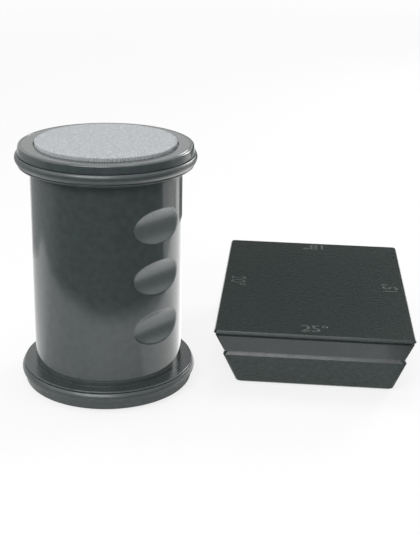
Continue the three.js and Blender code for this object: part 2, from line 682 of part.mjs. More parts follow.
function angleBlock() {
  piece("block_cap", blockCap(), "block");
  piece("block_shell", blockShell(), "block");
  piece("block_foot", loft([blockRing(0, FOOT_INSET), blockRing(FLOOR_UNDER, FOOT_INSET)]), "foot");
  piece("block_ballast", ballast(), "steel");
  postPlaces().forEach(([x, y], i) => {
    piece(`block_screw_${i + 1}`, turned(blockScrewOutline(), SMALL_FACES).translate(x, y, 0), "steel");
  });
  const half = magnetHeight() / 2;
  for (const [side, wall] of Object.entries(WALLS)) {
    const runs = magnetRuns(wall);
    const depth = [MAGNET_SKIN + MAGNET_GAP, MAGNET_SKIN + MAGNET_GAP + MAGNET_THICKNESS];
    runs.forEach((run, i) => {
      piece(`${side}_magnet_${i + 1}`, wallBox(wall, depth, run, half), "magnet");
    });
    const [[from], [, to]] = runs;
    piece(`${side}_yoke`, wallBox(wall, [YOKE_START, YOKE_END], [from, to], half), "steel");
  }
}

roller();
angleBlock();

export default model;
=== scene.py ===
"""Looks of the rolling knife sharpener: the roller on its end, and the angle block beside it.

Sizes are in millimetres and become metres when a piece is made. The frame is the solids' own: +Z up, the
origin under the middle of the roller.
"""

import logging
import math
from collections.abc import Callable, Sequence
from dataclasses import dataclass
from enum import Enum

import bmesh
import bpy
import numpy as np
from mathutils import Matrix, Vector


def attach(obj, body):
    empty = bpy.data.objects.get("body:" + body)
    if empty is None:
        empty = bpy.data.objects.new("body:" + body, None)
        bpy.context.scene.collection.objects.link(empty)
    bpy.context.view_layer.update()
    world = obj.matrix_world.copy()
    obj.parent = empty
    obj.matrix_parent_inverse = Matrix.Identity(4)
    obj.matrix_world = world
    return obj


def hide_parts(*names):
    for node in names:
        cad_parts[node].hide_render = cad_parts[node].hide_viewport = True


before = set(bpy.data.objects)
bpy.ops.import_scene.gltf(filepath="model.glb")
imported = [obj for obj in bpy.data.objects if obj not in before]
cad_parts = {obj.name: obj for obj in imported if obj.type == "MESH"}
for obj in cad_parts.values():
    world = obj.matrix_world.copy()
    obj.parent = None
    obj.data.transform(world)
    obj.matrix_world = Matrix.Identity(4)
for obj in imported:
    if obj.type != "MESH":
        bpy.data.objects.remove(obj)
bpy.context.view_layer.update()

Array = np.ndarray
Socket = bpy.types.NodeSocket
SURFACE = "Principled BSDF"  # the name of a new material's own surface node
MM = 0.001
TURN = 2 * math.pi
ROLLER_HEIGHT = 85.0
WHEEL_INNER = 7.6
BEARING_START = 10.5
BEARING_END = 17.5
BLOCK = "angle_block"
GUARD = 0.3  # how far beside a rounded edge the flat gets a point that keeps it flat

logging.basicConfig(level=logging.INFO, format="%(message)s")
log = logging.getLogger("sharpener")


# Surfaces


@dataclass(frozen=True)
class Skin:
    """A surface as arrays.

    Args:
        points: one row of x, y, z in millimetres for each point.
        faces: arrays of point numbers, one row for each face.
    """

    points: Array
    faces: tuple[Array, ...]

    def joined(self, *others: "Skin") -> "Skin":
        """This surface and others as one, each keeping its own points."""
        points, faces = self.points, self.faces
        for other in others:
            faces += tuple(part + len(points) for part in other.faces)
            points = np.vstack([points, other.points])
        return Skin(points, faces)

    def moved(self, x: float, y: float, z: float = 0.0) -> "Skin":
        """The surface shifted by a distance along each axis."""
        return Skin(self.points + (x, y, z), self.faces)

    def turned_over(self) -> "Skin":
        """The lower end's surface at the upper end: half a turn about a level line, so no face flips."""
        return Skin(self.points * (1, -1, -1) + (0, 0, ROLLER_HEIGHT), self.faces)

    def middles(self) -> Array:
        """Middle of each face."""
        return np.concatenate([self.points[part].mean(1) for part in self.faces])

    def mesh(self) -> bpy.types.Mesh:
        """The surface as a smooth mesh, in metres."""
        mesh = bpy.data.meshes.new("skin")
        faces = [face for part in self.faces for face in part.tolist()]
        mesh.from_pydata((self.points * MM).tolist(), [], faces)
        mesh.shade_smooth()
        return mesh


def lattice(rows: int, columns: int, closed: bool) -> Array:
    """Faces of a grid whose columns run round and meet.

    Face (i, j) joins points (i, j), (i, j + 1), (i + 1, j + 1) and (i + 1, j). It faces outwards where the
    columns run anticlockwise seen from above and the rows run up the outside.

    Args:
        rows: number of rows of points.
        columns: number of points in a row.
        closed: whether the last row meets the first.

    Returns:
        One row of four point numbers for each face.
    """
    i, j = np.meshgrid(np.arange(rows if closed else rows - 1), np.arange(columns), indexing="ij")
    k, n = (i + 1) % rows, (j + 1) % columns
    return np.stack([i * columns + j, i * columns + n, k * columns + n, k * columns + j], -1).reshape(-1, 4)


def rounded(corners: Sequence[tuple[float, float, float]], closed: bool = True, steps: int = 4) -> Array:
    """An outline whose corners are arcs.

    An arc of radius q in a corner with half angle h starts q / tan h from the corner. Its points are the
    circle's spokes turned evenly from the first tangent to the second. A guard point lies beside each end.

    Args:
        corners: (r, z, radius of the arc) of each corner, in order.
        closed: whether the outline closes; if not, its first and last corners are bare ends.
        steps: steps along each arc.

    Returns:
        One row of r, z for each point.
    """
    table = np.array(corners, float)
    spots, radii = table[:, :2], table[:, 2]
    ways = [np.roll(spots, shift, 0) - spots for shift in (1, -1)]
    lengths = [np.linalg.norm(way, axis=1) for way in ways]
    back, ahead = (way / length[:, None] for way, length in zip(ways, lengths))
    half = np.arccos(np.clip((back * ahead).sum(1), -1, 1)) / 2
    reach = radii / np.tan(half)
    bisector = back + ahead
    bisector /= np.maximum(np.linalg.norm(bisector, axis=1), 1e-9)[:, None]
    centre = bisector * (radii / np.sin(half))[:, None]
    sweep = np.maximum(math.pi - 2 * half, 1e-6)[:, None]
    share = np.linspace(0, 1, steps + 1)[None]
    arcs, guards = centre[:, None], []
    for way, length, weight, shift in zip((back, ahead), lengths, (1 - share, share), (1, -1)):
        spoke = way * reach[:, None] - centre
        arcs = arcs + (np.sin(weight * sweep) / np.sin(sweep))[..., None] * spoke[:, None]
        room = length - reach - np.roll(reach, shift)
        guards.append((way * (reach + np.minimum(GUARD, 0.3 * room))[:, None])[:, None])
    run = spots[:, None] + np.concatenate([guards[0], arcs, guards[1]], 1)
    if closed:
        return run.reshape(-1, 2)
    return np.vstack([spots[:1], run[1:-1].reshape(-1, 2), spots[-1:]])


def about_axle(radius: Array, turn: Array, height: Array) -> Array:
    """Points at a radius, an angle in radians and a height: x = r cos t, y = r sin t."""
    return np.stack(np.broadcast_arrays(radius * np.cos(turn), radius * np.sin(turn), height), -1)


def revolve(
    outline: Array, columns: int, reshape: Callable[[Array, Array, Array], Array] | None = None
) -> Skin:
    """A turned surface, in even steps round the axle.

    Args:
        outline: r, z of each point. It closes on itself, or has its two ends on the axle.
        columns: points round a full turn.
        reshape: gives r where the surface isn't round, from r, z and the angle as grids.

    Returns:
        The closed surface, facing outwards.
    """
    r, z = outline[:, 0], outline[:, 1]
    if (r * np.roll(z, -1) - np.roll(r, -1) * z).sum() < 0:
        r, z = r[::-1], z[::-1]
    poled = r[0] < 1e-9 and r[-1] < 1e-9
    ends = z[[0, -1]]
    if poled:
        r, z = r[1:-1], z[1:-1]
    turn = np.arange(columns) * TURN / columns
    radius, height, angle = np.broadcast_arrays(r[:, None], z[:, None], turn[None])
    if reshape:
        radius = reshape(radius, height, angle)
    points = about_axle(radius, angle, height).reshape(-1, 3)
    faces = lattice(len(r), columns, not poled)
    if not poled:
        return Skin(points, (faces,))
    low, high = len(points), len(points) + 1
    points = np.vstack([points, [(0, 0, ends[0]), (0, 0, ends[1])]])
    j = np.arange(columns)
    n = (j + 1) % columns
    last = (len(r) - 1) * columns
    bottom = np.stack([np.full(columns, low), n, j], 1)
    top = np.stack([last + j, last + n, np.full(columns, high)], 1)
    return Skin(points, (faces, bottom, top))


def arc(r: float, z: float, radius: float, start: float, end: float, steps: int) -> Array:
    """Points on an arc of an outline, from one angle to another in degrees."""
    angle = np.radians(np.linspace(start, end, steps + 1))
    return np.stack([r + radius * np.cos(angle), z + radius * np.sin(angle)], 1)


def tube(bore: float, radius: float, low: float, high: float, edge: float) -> Array:
    """Outline of a ring with rounded edges."""
    return rounded([(bore, low, edge), (radius, low, edge), (radius, high, edge), (bore, high, edge)])


def disc(radius: float, low: float, high: float, low_edge: float, high_edge: float) -> Array:
    """Outline of a disc with rounded edges."""
    corners = [(0, low, 0), (radius, low, low_edge), (radius, high, high_edge), (0, high, 0)]
    return rounded(corners, closed=False)


def brick(low: Sequence[float], high: Sequence[float], turn: float) -> Skin:
    """A plain block, to be bevelled.

    Args:
        low: its corner with the least x, y and z.
        high: its opposite corner.
        turn: angle in radians by which it is then turned about the axle.

    Returns:
        The block.
    """
    x, y, z = np.meshgrid(*zip(low, high), indexing="ij")
    corners = np.stack([x, y, z], -1).reshape(-1, 3)
    spin = np.array([[math.cos(turn), math.sin(turn), 0], [-math.sin(turn), math.cos(turn), 0], [0, 0, 1]])
    faces = np.array([(0, 2, 6, 4), (1, 5, 7, 3), (0, 4, 5, 1), (2, 3, 7, 6), (0, 1, 3, 2), (4, 6, 7, 5)])
    return Skin(corners @ spin, (faces,))


def soft_least(first: Array, second: Array, width: float) -> Array:
    """The lesser of two values, rounded where they cross.

    With h = 1/2 + (second - first) / (2 width), kept within 0 and 1, it is first h + second (1 - h) - width
    h (1 - h).
    """
    share = np.clip(0.5 + 0.5 * (second - first) / width, 0, 1)
    return first * share + second * (1 - share) - width * share * (1 - share)


@dataclass(frozen=True)
class Screw:
    """A screw on the axle, head down: its heights, its radii, and half the width of its socket."""

    face: float
    floor: float
    seat: float
    head: float
    head_edge: float
    socket: float
    socket_edge: float
    socket_half: float
    radius: float
    pitch: float
    thread_run: tuple[float, float]
    tip: tuple[float, float]
    rows: int
    columns: int
    thread_depth: float = 0.35

    def cut(self, radius: Array, height: Array, turn: Array) -> Array:
        """Makes the socket six-sided, and cuts the thread as a triangle wave along a right-handed helix."""
        near = 0.1
        hexagon = self.socket_half / np.cos((turn + TURN / 12) % (TURN / 6) - TURN / 12)
        hollow = (radius < self.socket + 0.02) & (height < self.floor + 0.05)
        radius = np.where(hollow, hexagon * radius / self.socket, radius)
        start, end = self.thread_run
        threaded = (height > start - near) & (height < end + near) & (radius > self.radius - near)
        wave = np.abs(2 * ((height / self.pitch - turn / TURN) % 1) - 1)
        return radius - threaded * self.thread_depth * wave

    def skin(self) -> Skin:
        """The screw: socket, head and shank."""
        head = rounded([
            (0, self.floor, 0), (self.socket, self.floor, 0.05), (self.socket, self.face, self.socket_edge),
            (self.head, self.face, self.head_edge), (self.head, self.seat, 0.1),
            (self.radius, self.seat, 0.08), (self.radius, self.thread_run[1], 0),
        ], closed=False)
        shank = np.stack([np.full(self.rows, self.radius), np.linspace(*self.thread_run, self.rows)], 1)
        outline = np.vstack([head[:-1], shank, [self.tip, (0, self.tip[1])]])
        return revolve(outline, self.columns, self.cut)


HUB_SCREW = Screw(
    face=2.2, floor=3.0, seat=3.6, head=4.6, head_edge=0.25, socket=1.5, socket_edge=0.08, socket_half=1.3,
    radius=2.3, pitch=0.8, thread_run=(4.4, 13.4), tip=(1.9, 13.9), rows=120, columns=48,
)
BLOCK_SCREW = Screw(
    face=1.0, floor=1.6, seat=2.1, head=2.6, head_edge=0.2, socket=1.2, socket_edge=0.06, socket_half=1.05,
    radius=1.4, pitch=1.1, thread_run=(3.4, 10.4), tip=(0.5, 11.2), rows=90, columns=40,
)


# Finishes


class Grain(Enum):
    """What the surface of a finish is like close up."""

    SATIN = "slight orange peel of a polished mould"
    LEATHER = "pebbled grain of an etched mould"
    GRIT = "abrasive grains in a metal bond"
    RINGS = "fine turned rings about the axle"
    TURNED = "fine tool marks along a turned bar"
    GROUND = "fine even grinding"
    FOAM = "open cells of a foam"
    ROLLED = "scale and scratches of rolled sheet"


class Shader:
    """The node tree of a material or of the world, built a node at a time."""

    def __init__(self, owner: bpy.types.Material | bpy.types.World) -> None:
        """Starts from the nodes that a new tree has."""
        owner.use_nodes = True
        self.owner, self.nodes, self.links = owner, owner.node_tree.nodes, owner.node_tree.links

    def fill(self, node: bpy.types.Node, sockets: dict[str | int, object]) -> None:
        """Plugs a socket into each named input, or sets its value."""
        for key, value in sockets.items():
            if isinstance(value, Socket):
                self.links.new(value, node.inputs[key])
            else:
                node.inputs[key].default_value = value

    def node(
        self, kind: str, sockets: dict[str | int, object] | None = None, out: str | int = 0,
        **settings: object,
    ) -> Socket:
        """Adds a node.

        Args:
            kind: the node's type, after its ShaderNode prefix.
            sockets: what goes into its inputs.
            out: the output to give back.
            settings: properties of the node.

        Returns:
            That output's socket.
        """
        made = self.nodes.new("ShaderNode" + kind)
        for key, value in settings.items():
            setattr(made, key, value)
        self.fill(made, sockets or {})
        return made.outputs[out]

    def show(self, closure: Socket, output: str = "Material Output") -> None:
        """Makes this what the tree shows."""
        self.fill(self.nodes[output], {"Surface": closure})

    def place(self) -> Socket:
        """Where a point lies on the object, in metres."""
        return self.node("TexCoord", out="Object")

    def noise(self, size: float, detail: float = 3.0, stretch: Sequence[float] = (1, 1, 1)) -> Socket:
        """Cloudy noise with blots of a size in millimetres, stretched along the axes."""
        scale = tuple(1 / (size * MM * part) for part in stretch)
        where = self.node("Mapping", {"Vector": self.place(), "Scale": scale})
        return self.node("TexNoise", {"Vector": where, "Scale": 1.0, "Detail": detail})

    def cells(self, size: float, feature: str = "F1") -> Socket:
        """Distance within round cells of a size in millimetres."""
        inputs = {"Vector": self.place(), "Scale": 1 / (size * MM)}
        return self.node("TexVoronoi", inputs, out="Distance", feature=feature)

    def remap(self, value: Socket, low: float, high: float, start: float = 0.3, end: float = 0.7) -> Socket:
        """Carries start to low and end to high, and stops there."""
        limits = {"From Min": start, "From Max": end, "To Min": low, "To Max": high}
        return self.node("MapRange", {"Value": value, **limits})

    def bands(self, across: Socket, pitch: float) -> Socket:
        """Even waves of a pitch in millimetres along a distance in metres."""
        phase = self.node("Math", {0: across, 1: TURN / (pitch * MM)}, operation="MULTIPLY")
        return self.node("Math", {0: phase}, operation="SINE")

    def radius(self) -> Socket:
        """Distance from the axle, in metres."""
        flat = self.node("VectorMath", {0: self.place(), 1: (1.0, 1.0, 0.0)}, operation="MULTIPLY")
        return self.node("VectorMath", {0: flat}, out="Value", operation="LENGTH")


@dataclass(frozen=True)
class Finish:
    """One finish of the object.

    Args:
        name: name of the material.
        slot: the material slot that the finish belongs to; not used.
        colour: linear base colour.
        roughness: least and most roughness.
        grain: what the surface is like close up, its size and its depth in millimetres.
        metallic: share of metal.
        refraction: index of refraction, which sets the gloss.
        patches: how far the colour varies, as a share, and the size of its patches in millimetres.
    """

    name: str
    slot: str
    colour: tuple[float, float, float]
    roughness: tuple[float, float]
    grain: Grain
    grain_size: float
    grain_depth: float
    metallic: float = 0.0
    refraction: float = 1.5
    patches: float = 0.1
    patch_size: float = 6.0

    def relief(self, shader: Shader) -> Socket:
        """Height of the grain, about 0 to 1, each kind from its own nodes, most with a share of noise."""
        size, noise, share = self.grain_size, shader.noise, 1.0
        if self.grain is Grain.GROUND:
            return noise(size, 4.0, (4, 4, 1))
        if self.grain is Grain.ROLLED:
            return noise(size, 5.0, (12, 1, 1))
        if self.grain is Grain.FOAM:
            return shader.remap(shader.cells(size), 0.0, 1.0, 0.1, 0.6)
        if self.grain is Grain.SATIN:
            main, added, share = noise(size, 2.0), noise(size * 8, 1.0), 2.0
        elif self.grain is Grain.LEATHER:
            main = shader.remap(shader.cells(size, "SMOOTH_F1"), 1.0, 0.0, 0.1, 0.75)
            added, share = noise(size * 3, 4.0), 0.8
        elif self.grain is Grain.GRIT:
            main = shader.remap(shader.cells(size), 1.0, 0.0, 0.05, 0.55)
            added, share = noise(size * 2.5, 2.0), 0.7
        elif self.grain is Grain.RINGS:
            main, added = shader.bands(shader.radius(), size), noise(size * 2, 2.0)
        else:
            height = shader.node("SeparateXYZ", {"Vector": shader.place()}, out="Z")
            main, added = shader.bands(height, size), noise(size * 2, 2.0, (6, 6, 1))
        return shader.node("Math", {0: added, 1: share, 2: main}, operation="MULTIPLY_ADD")

    def material(self) -> bpy.types.Material:
        """The finish as a material, made the first time that it is asked for."""
        ready = bpy.data.materials.get(self.name)
        if ready:
            return ready
        shader = Shader(bpy.data.materials.new(self.name))
        blots = shader.remap(shader.noise(self.patch_size, 4.0), 0.0, 1.0)
        colour = shader.node("ValToRGB", {0: blots})
        for stop, side in zip(colour.node.color_ramp.elements, (-1, 1)):
            stop.color = (*(part * (1 + side * self.patches) for part in self.colour), 1.0)
        relief = self.relief(shader)
        if self.grain is Grain.GRIT:
            shade = shader.remap(relief, 0.72, 1.25, 0.5, 1.4)
            colour = shader.node("VectorMath", {0: colour, "Scale": shade}, operation="SCALE")
        wear = shader.noise(self.patch_size / 3, 3.0)
        depth = {"Height": relief, "Distance": self.grain_depth * MM, "Strength": 1.0}
        shader.fill(shader.nodes[SURFACE], {
            "Base Color": colour, "Roughness": shader.remap(wear, *self.roughness), "IOR": self.refraction,
            "Metallic": self.metallic, "Normal": shader.node("Bump", depth, out="Normal"),
        })
        return shader.owner


HANDLE_PLASTIC = Finish(
    "grip_gloss", "handle_plastic", (0.043, 0.054, 0.054), (0.08, 0.13), Grain.SATIN, 0.5, 0.0012,
    refraction=1.67, patches=0.12, patch_size=2.5,
)
RECESS_PLASTIC = Finish(
    "recess_satin", "handle_plastic", (0.06, 0.074, 0.075), (0.27, 0.33), Grain.SATIN, 0.4, 0.0015,
    refraction=1.66, patches=0.06, patch_size=1.5,
)
WHEEL_PLASTIC = Finish(
    "wheel_gloss", "wheel_plastic", (0.044, 0.055, 0.056), (0.12, 0.2), Grain.SATIN, 0.4, 0.0018,
    refraction=1.66, patches=0.12, patch_size=2.5,
)
WHEEL_SATIN = Finish(
    "wheel_satin", "wheel_plastic", (0.04, 0.05, 0.051), (0.26, 0.34), Grain.SATIN, 0.4, 0.0012,
    refraction=1.6, patches=0.1, patch_size=2.5,
)
TYRE_RUBBER = Finish(
    "tyre_satin", "tyre_rubber", (0.044, 0.055, 0.055), (0.3, 0.38), Grain.SATIN, 0.4, 0.0012,
    refraction=1.62, patches=0.12, patch_size=2.0,
)
CARRIER_PLASTIC = Finish(
    "etched_carrier", "carrier_plastic", (0.03, 0.032, 0.034), (0.4, 0.55), Grain.LEATHER, 0.3, 0.01
)
# The top's own dull, grained finish; it also paints shade into the groove under the cap's edge.
BLOCK_TOP_AND_GROOVE_SHADE = Finish(
    "block_top_plastic", "block_plastic", (0.0215, 0.029, 0.0275), (0.36, 0.48), Grain.LEATHER, 0.75,
    0.09, refraction=1.16, patches=0.2, patch_size=1.6,
)
BLOCK_CAP_PLASTIC = Finish(
    "block_cap_plastic", "block_plastic", (0.026, 0.034, 0.034), (0.2, 0.28), Grain.SATIN, 0.4, 0.002,
    refraction=1.38,
)
# The numbers are the block's plastic painted lighter: a painted highlight for the light on their raised
# edges.
NUMBER_PAINTED_HIGHLIGHT = Finish(
    "number_painted_highlight", "block_plastic", (0.066, 0.078, 0.076), (0.26, 0.36), Grain.SATIN, 0.3, 0.001,
    refraction=1.4,
)
BLOCK_TRAY_PLASTIC = Finish(
    "block_tray_plastic", "block_plastic", (0.034, 0.045, 0.043), (0.34, 0.46), Grain.LEATHER, 0.8, 0.09,
    refraction=1.22, patches=0.2, patch_size=1.6,
)
FOOT_RUBBER = Finish(
    "sheet_rubber", "foot_rubber", (0.02, 0.02, 0.02), (0.75, 0.9), Grain.LEATHER, 0.8, 0.06
)
DIAMOND_GRIT = Finish(
    "gritted_face", "diamond_grit", (0.51, 0.53, 0.55), (0.4, 0.6), Grain.GRIT, 0.6, 0.1,
    metallic=0.3, patch_size=1.6,
)
# The serrated rim is painted lighter than the gritted face: painted light, for a side that faces away from
# the lamps.
GRITTED_RIM_PAINTED_LIGHT = Finish(
    "gritted_rim_painted_light", "diamond_grit", (0.72, 0.74, 0.76), (0.45, 0.6), Grain.GRIT, 0.5, 0.04,
    metallic=0.1, patches=0.05, patch_size=1.6,
)
HONING_STEEL = Finish(
    "ringed_steel", "honing_steel", (0.5, 0.51, 0.53), (0.2, 0.32), Grain.RINGS, 0.12, 0.004,
    metallic=1.0, patches=0.04,
)
BEARING_STEEL = Finish(
    "ground_steel", "bearing_steel", (0.6, 0.61, 0.62), (0.1, 0.2), Grain.GROUND, 0.05, 0.0006,
    metallic=1.0, patches=0.03,
)
SHAFT_STEEL = Finish(
    "turned_steel", "shaft_steel", (0.48, 0.48, 0.49), (0.24, 0.38), Grain.TURNED, 0.18, 0.003,
    metallic=1.0, patches=0.05,
)
CAGE_NYLON = Finish("moulded_nylon", "cage_nylon", (0.6, 0.5, 0.3), (0.35, 0.5), Grain.SATIN, 0.3, 0.004)
BOND_TAPE = Finish("foam_tape", "bond_tape", (0.75, 0.74, 0.7), (0.8, 0.95), Grain.FOAM, 0.3, 0.05)
MAGNET_NICKEL = Finish(
    "plated_nickel", "magnet_nickel", (0.55, 0.56, 0.58), (0.16, 0.3), Grain.GROUND, 0.2, 0.002,
    metallic=1.0, patches=0.05,
)
BALLAST_STEEL = Finish(
    "rolled_steel", "ballast_steel", (0.35, 0.35, 0.36), (0.4, 0.6), Grain.ROLLED, 0.25, 0.008,
    metallic=1.0, patches=0.2,
)


# Pieces


def placed(name: str, data: bpy.types.ID) -> bpy.types.Object:
    """A new object in the scene, with a mesh, a text, a lamp or a camera."""
    made = bpy.data.objects.new(name, data)
    bpy.context.scene.collection.objects.link(made)
    return made


def make_piece(
    name: str, mesh: bpy.types.Mesh, finish: Finish, body: str, *nodes: str, bevel: float = 0.0,
    second: tuple[Finish, Array] | None = None,
) -> None:
    """Makes a mesh a piece: gives it its finish, its bevel and its place in the frame, and reports it.

    Args:
        name: name of the piece.
        mesh: its mesh.
        finish: what it is made of.
        body: the body it moves with.
        nodes: the solids that it stands for.
        bevel: width in millimetres of the rounding of its square edges.
        second: a second finish, and which faces have it.
    """
    mesh.name = name
    mesh.materials.clear()
    mesh.materials.append(finish.material())
    piece = placed(name, mesh)
    if second:
        mesh.materials.append(second[0].material())
        mesh.polygons.foreach_set("material_index", second[1].astype(np.int32))
    if bevel:
        edge = piece.modifiers.new("rounded_edges", "BEVEL")
        edge.width, edge.segments = bevel * MM, 2
        edge.limit_method, edge.angle_limit = "ANGLE", math.radians(50)
        edge.harden_normals = True
    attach(piece, body)
    # The photograph's two things were lit apart, so the roller doesn't mirror the block.
    piece.visible_glossy = body != BLOCK
    if nodes:
        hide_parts(*nodes)
    log.info("%s: %d faces, %s, on %s", piece.name, len(mesh.polygons), finish.name, body)


def solid_mesh(node: str) -> bpy.types.Mesh:
    """A solid's own mesh, to be bevelled: loose triangles are merged and flat neighbours made one face."""
    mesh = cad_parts[node].data.copy()
    shape = bmesh.new()
    shape.from_mesh(mesh)
    bmesh.ops.remove_doubles(shape, verts=shape.verts, dist=1e-6)
    bmesh.ops.dissolve_limit(shape, angle_limit=math.radians(1), verts=shape.verts, edges=shape.edges)
    shape.to_mesh(mesh)
    shape.free()
    mesh.shade_smooth()
    return mesh


class End(Enum):
    """The two ends of the roller, mirror images of each other."""

    LOWER = "lower"
    UPPER = "upper"

    def make(self, name: str, skin: Skin, finish: Finish, body: str, node: str, **more: object) -> None:
        """Makes a piece at this end, as drawn for the lower one. Both its names start with the end's."""
        mesh = (skin if self is End.LOWER else skin.turned_over()).mesh()
        make_piece(f"{self.value}_{name}", mesh, finish, body, f"{self.value}_{node}", **more)


# Roller


@dataclass
class Grip:
    """The still part of the roller: the shell held in the hand, and the carriers of the bearings in it."""

    radius: float = 25.2
    start: float = 9.5
    length: float = 66.0
    wall: float = 2.4
    edge: float = 0.1
    inner_edge: float = 0.3
    recess_heights: tuple[float, ...] = (26.3, 43.8, 61.3)
    recess_bar: float = 8.98
    recess_depth: float = 2.0
    recess_bearing: float = 52.0
    recess_span: float = 28.0
    recess_margin: float = 7.0
    recess_edge: float = 0.3
    carrier_face: float = 10.1
    carrier_radius: float = 22.7
    carrier_depth: float = 6.0
    carrier_wall: float = 2.2
    web: float = 2.0
    bearing_pocket: float = 11.1
    boss_wall: float = 2.4
    boss_end: float = 19.0
    bearing_stop: float = 1.6
    ribs: int = 6
    rib_half: float = 0.8

    def wall_radius(self, radius: float, bar: float, height: Array, turn: Array) -> Array:
        """Radius of the shell's outer or inner wall.

        A recess is cut by a level bar whose axis lies away from the axle. Straight through the recess the
        wall is at away - sqrt(bar^2 - (z - recess height)^2), at an angle b beside it at that over cos b.
        The wall is the lesser of this and the plain radius, rounded where they meet.

        Args:
            radius: radius of the wall away from the recesses.
            bar: radius of the bar that cuts it.
            height: heights, one in a row.
            turn: angles about the axle, in one row.

        Returns:
            The radius at each height and angle.
        """
        away = self.radius - self.recess_depth + self.recess_bar
        beside = turn - math.radians(self.recess_bearing - 90)
        facing = np.maximum(np.cos(beside), 1e-3)
        wall = np.full(np.broadcast(height, turn).shape, radius)
        uncut = radius + 5  # a cut that lies this far out is none
        for middle in self.recess_heights:
            cut = (away - np.sqrt(np.maximum(bar**2 - (height - middle) ** 2, 0))) / facing
            wall = soft_least(wall, np.minimum(cut, uncut), self.recess_edge)
        return wall

    def wall_side(
        self, inset: float, edge: float, turn: Array, steps: int, plain: int, fine: int
    ) -> tuple[Array, Array]:
        """Points up one side of the shell's wall, which ends in a quarter of a circle at both ends.

        Args:
            inset: depth of this side under the shell's outside.
            edge: radius of those quarters.
            turn: angles about the axle, in one row.
            steps: steps along a quarter.
            plain: points between an end and the recesses.
            fine: points along the recesses.

        Returns:
            The radius at each height and angle, and the heights, one in a row.
        """
        end, margin = self.start + self.length, self.recess_margin
        low, high = self.recess_heights[0] - margin, self.recess_heights[-1] + margin
        rise = np.radians(np.linspace(0, 90, steps + 1))
        lift, trim = edge * (1 - np.cos(rise)), edge * (1 - np.sin(rise))
        body = np.concatenate([
            np.linspace(self.start + edge + GUARD, low, plain), np.linspace(low, high, fine)[1:-1],
            np.linspace(high, end - edge - GUARD, plain),
        ])
        height = np.concatenate([self.start + lift, body, end - lift[::-1]])[:, None]
        rounding = np.concatenate([trim, 0 * body, trim[::-1]])[:, None] * (-1 if inset else 1)
        radius = self.wall_radius(self.radius - inset, self.recess_bar + inset, height, turn)
        return radius - rounding, height

    def shell(self) -> Skin:
        """The shell as one closed grid, up the outside and down the inside, finest round the recesses."""
        span = math.radians(self.recess_span)
        near, far = np.linspace(-span, span, 184), np.linspace(span, TURN - span, 78)[1:-1]
        turn = (math.radians(self.recess_bearing - 90) + np.concatenate([near, far]))[None]
        outer, up = self.wall_side(0, self.edge, turn, steps=6, plain=5, fine=250)
        inner, down = self.wall_side(self.wall, self.inner_edge, turn, steps=3, plain=4, fine=60)
        radius, height = np.vstack([outer, inner[::-1]]), np.vstack([up, down[::-1]])
        return Skin(about_axle(radius, turn, height).reshape(-1, 3), (lattice(*radius.shape, True),))

    def carrier(self) -> Skin:
        """The lower carrier: rim, web and boss turned as one, with square ribs between rim and boss."""
        face, rim, pocket, boss = self.carrier_face, self.carrier_radius, self.bearing_pocket, self.boss_end
        web, back, inside = face + self.web, face + self.carrier_depth, rim - self.carrier_wall
        outline = rounded([
            (pocket, face, 0.4), (rim, face, 0.4), (rim, back, 0.4), (inside, back, 0.4), (inside, web, 0.5),
            (pocket + self.boss_wall, web, 0.5), (pocket + self.boss_wall, boss, 0.4),
            (pocket - self.bearing_stop, boss, 0.4), (pocket - self.bearing_stop, BEARING_END, 0.3),
            (pocket, BEARING_END, 0.3),
        ])
        low = (pocket + self.boss_wall / 2, -self.rib_half, face + self.web / 2)
        high = (rim - self.carrier_wall / 2, self.rib_half, back - 0.15)
        ribs = [brick(low, high, i * TURN / self.ribs) for i in range(self.ribs)]
        return revolve(outline, 160).joined(*ribs)

    def recessed(self, shell: Skin) -> Array:
        """Which faces of the shell's outside lie in a recess."""
        x, y, height = shell.middles().T
        radius = np.hypot(x, y)
        apart = np.abs(height[:, None] - np.array(self.recess_heights)).min(1)
        return (radius < self.radius - 0.1) & (radius > self.radius - self.wall + 0.05) & (apart < 6)

    def build(self) -> None:
        """Makes the shell and both carriers."""
        shell = self.shell()
        satin = (RECESS_PLASTIC, self.recessed(shell))
        make_piece("grip_shell", shell.mesh(), HANDLE_PLASTIC, "handle", "handle_shell", second=satin)
        for end in End:
            end.make("carrier", self.carrier(), CARRIER_PLASTIC, "handle", "bearing_carrier", bevel=0.25)


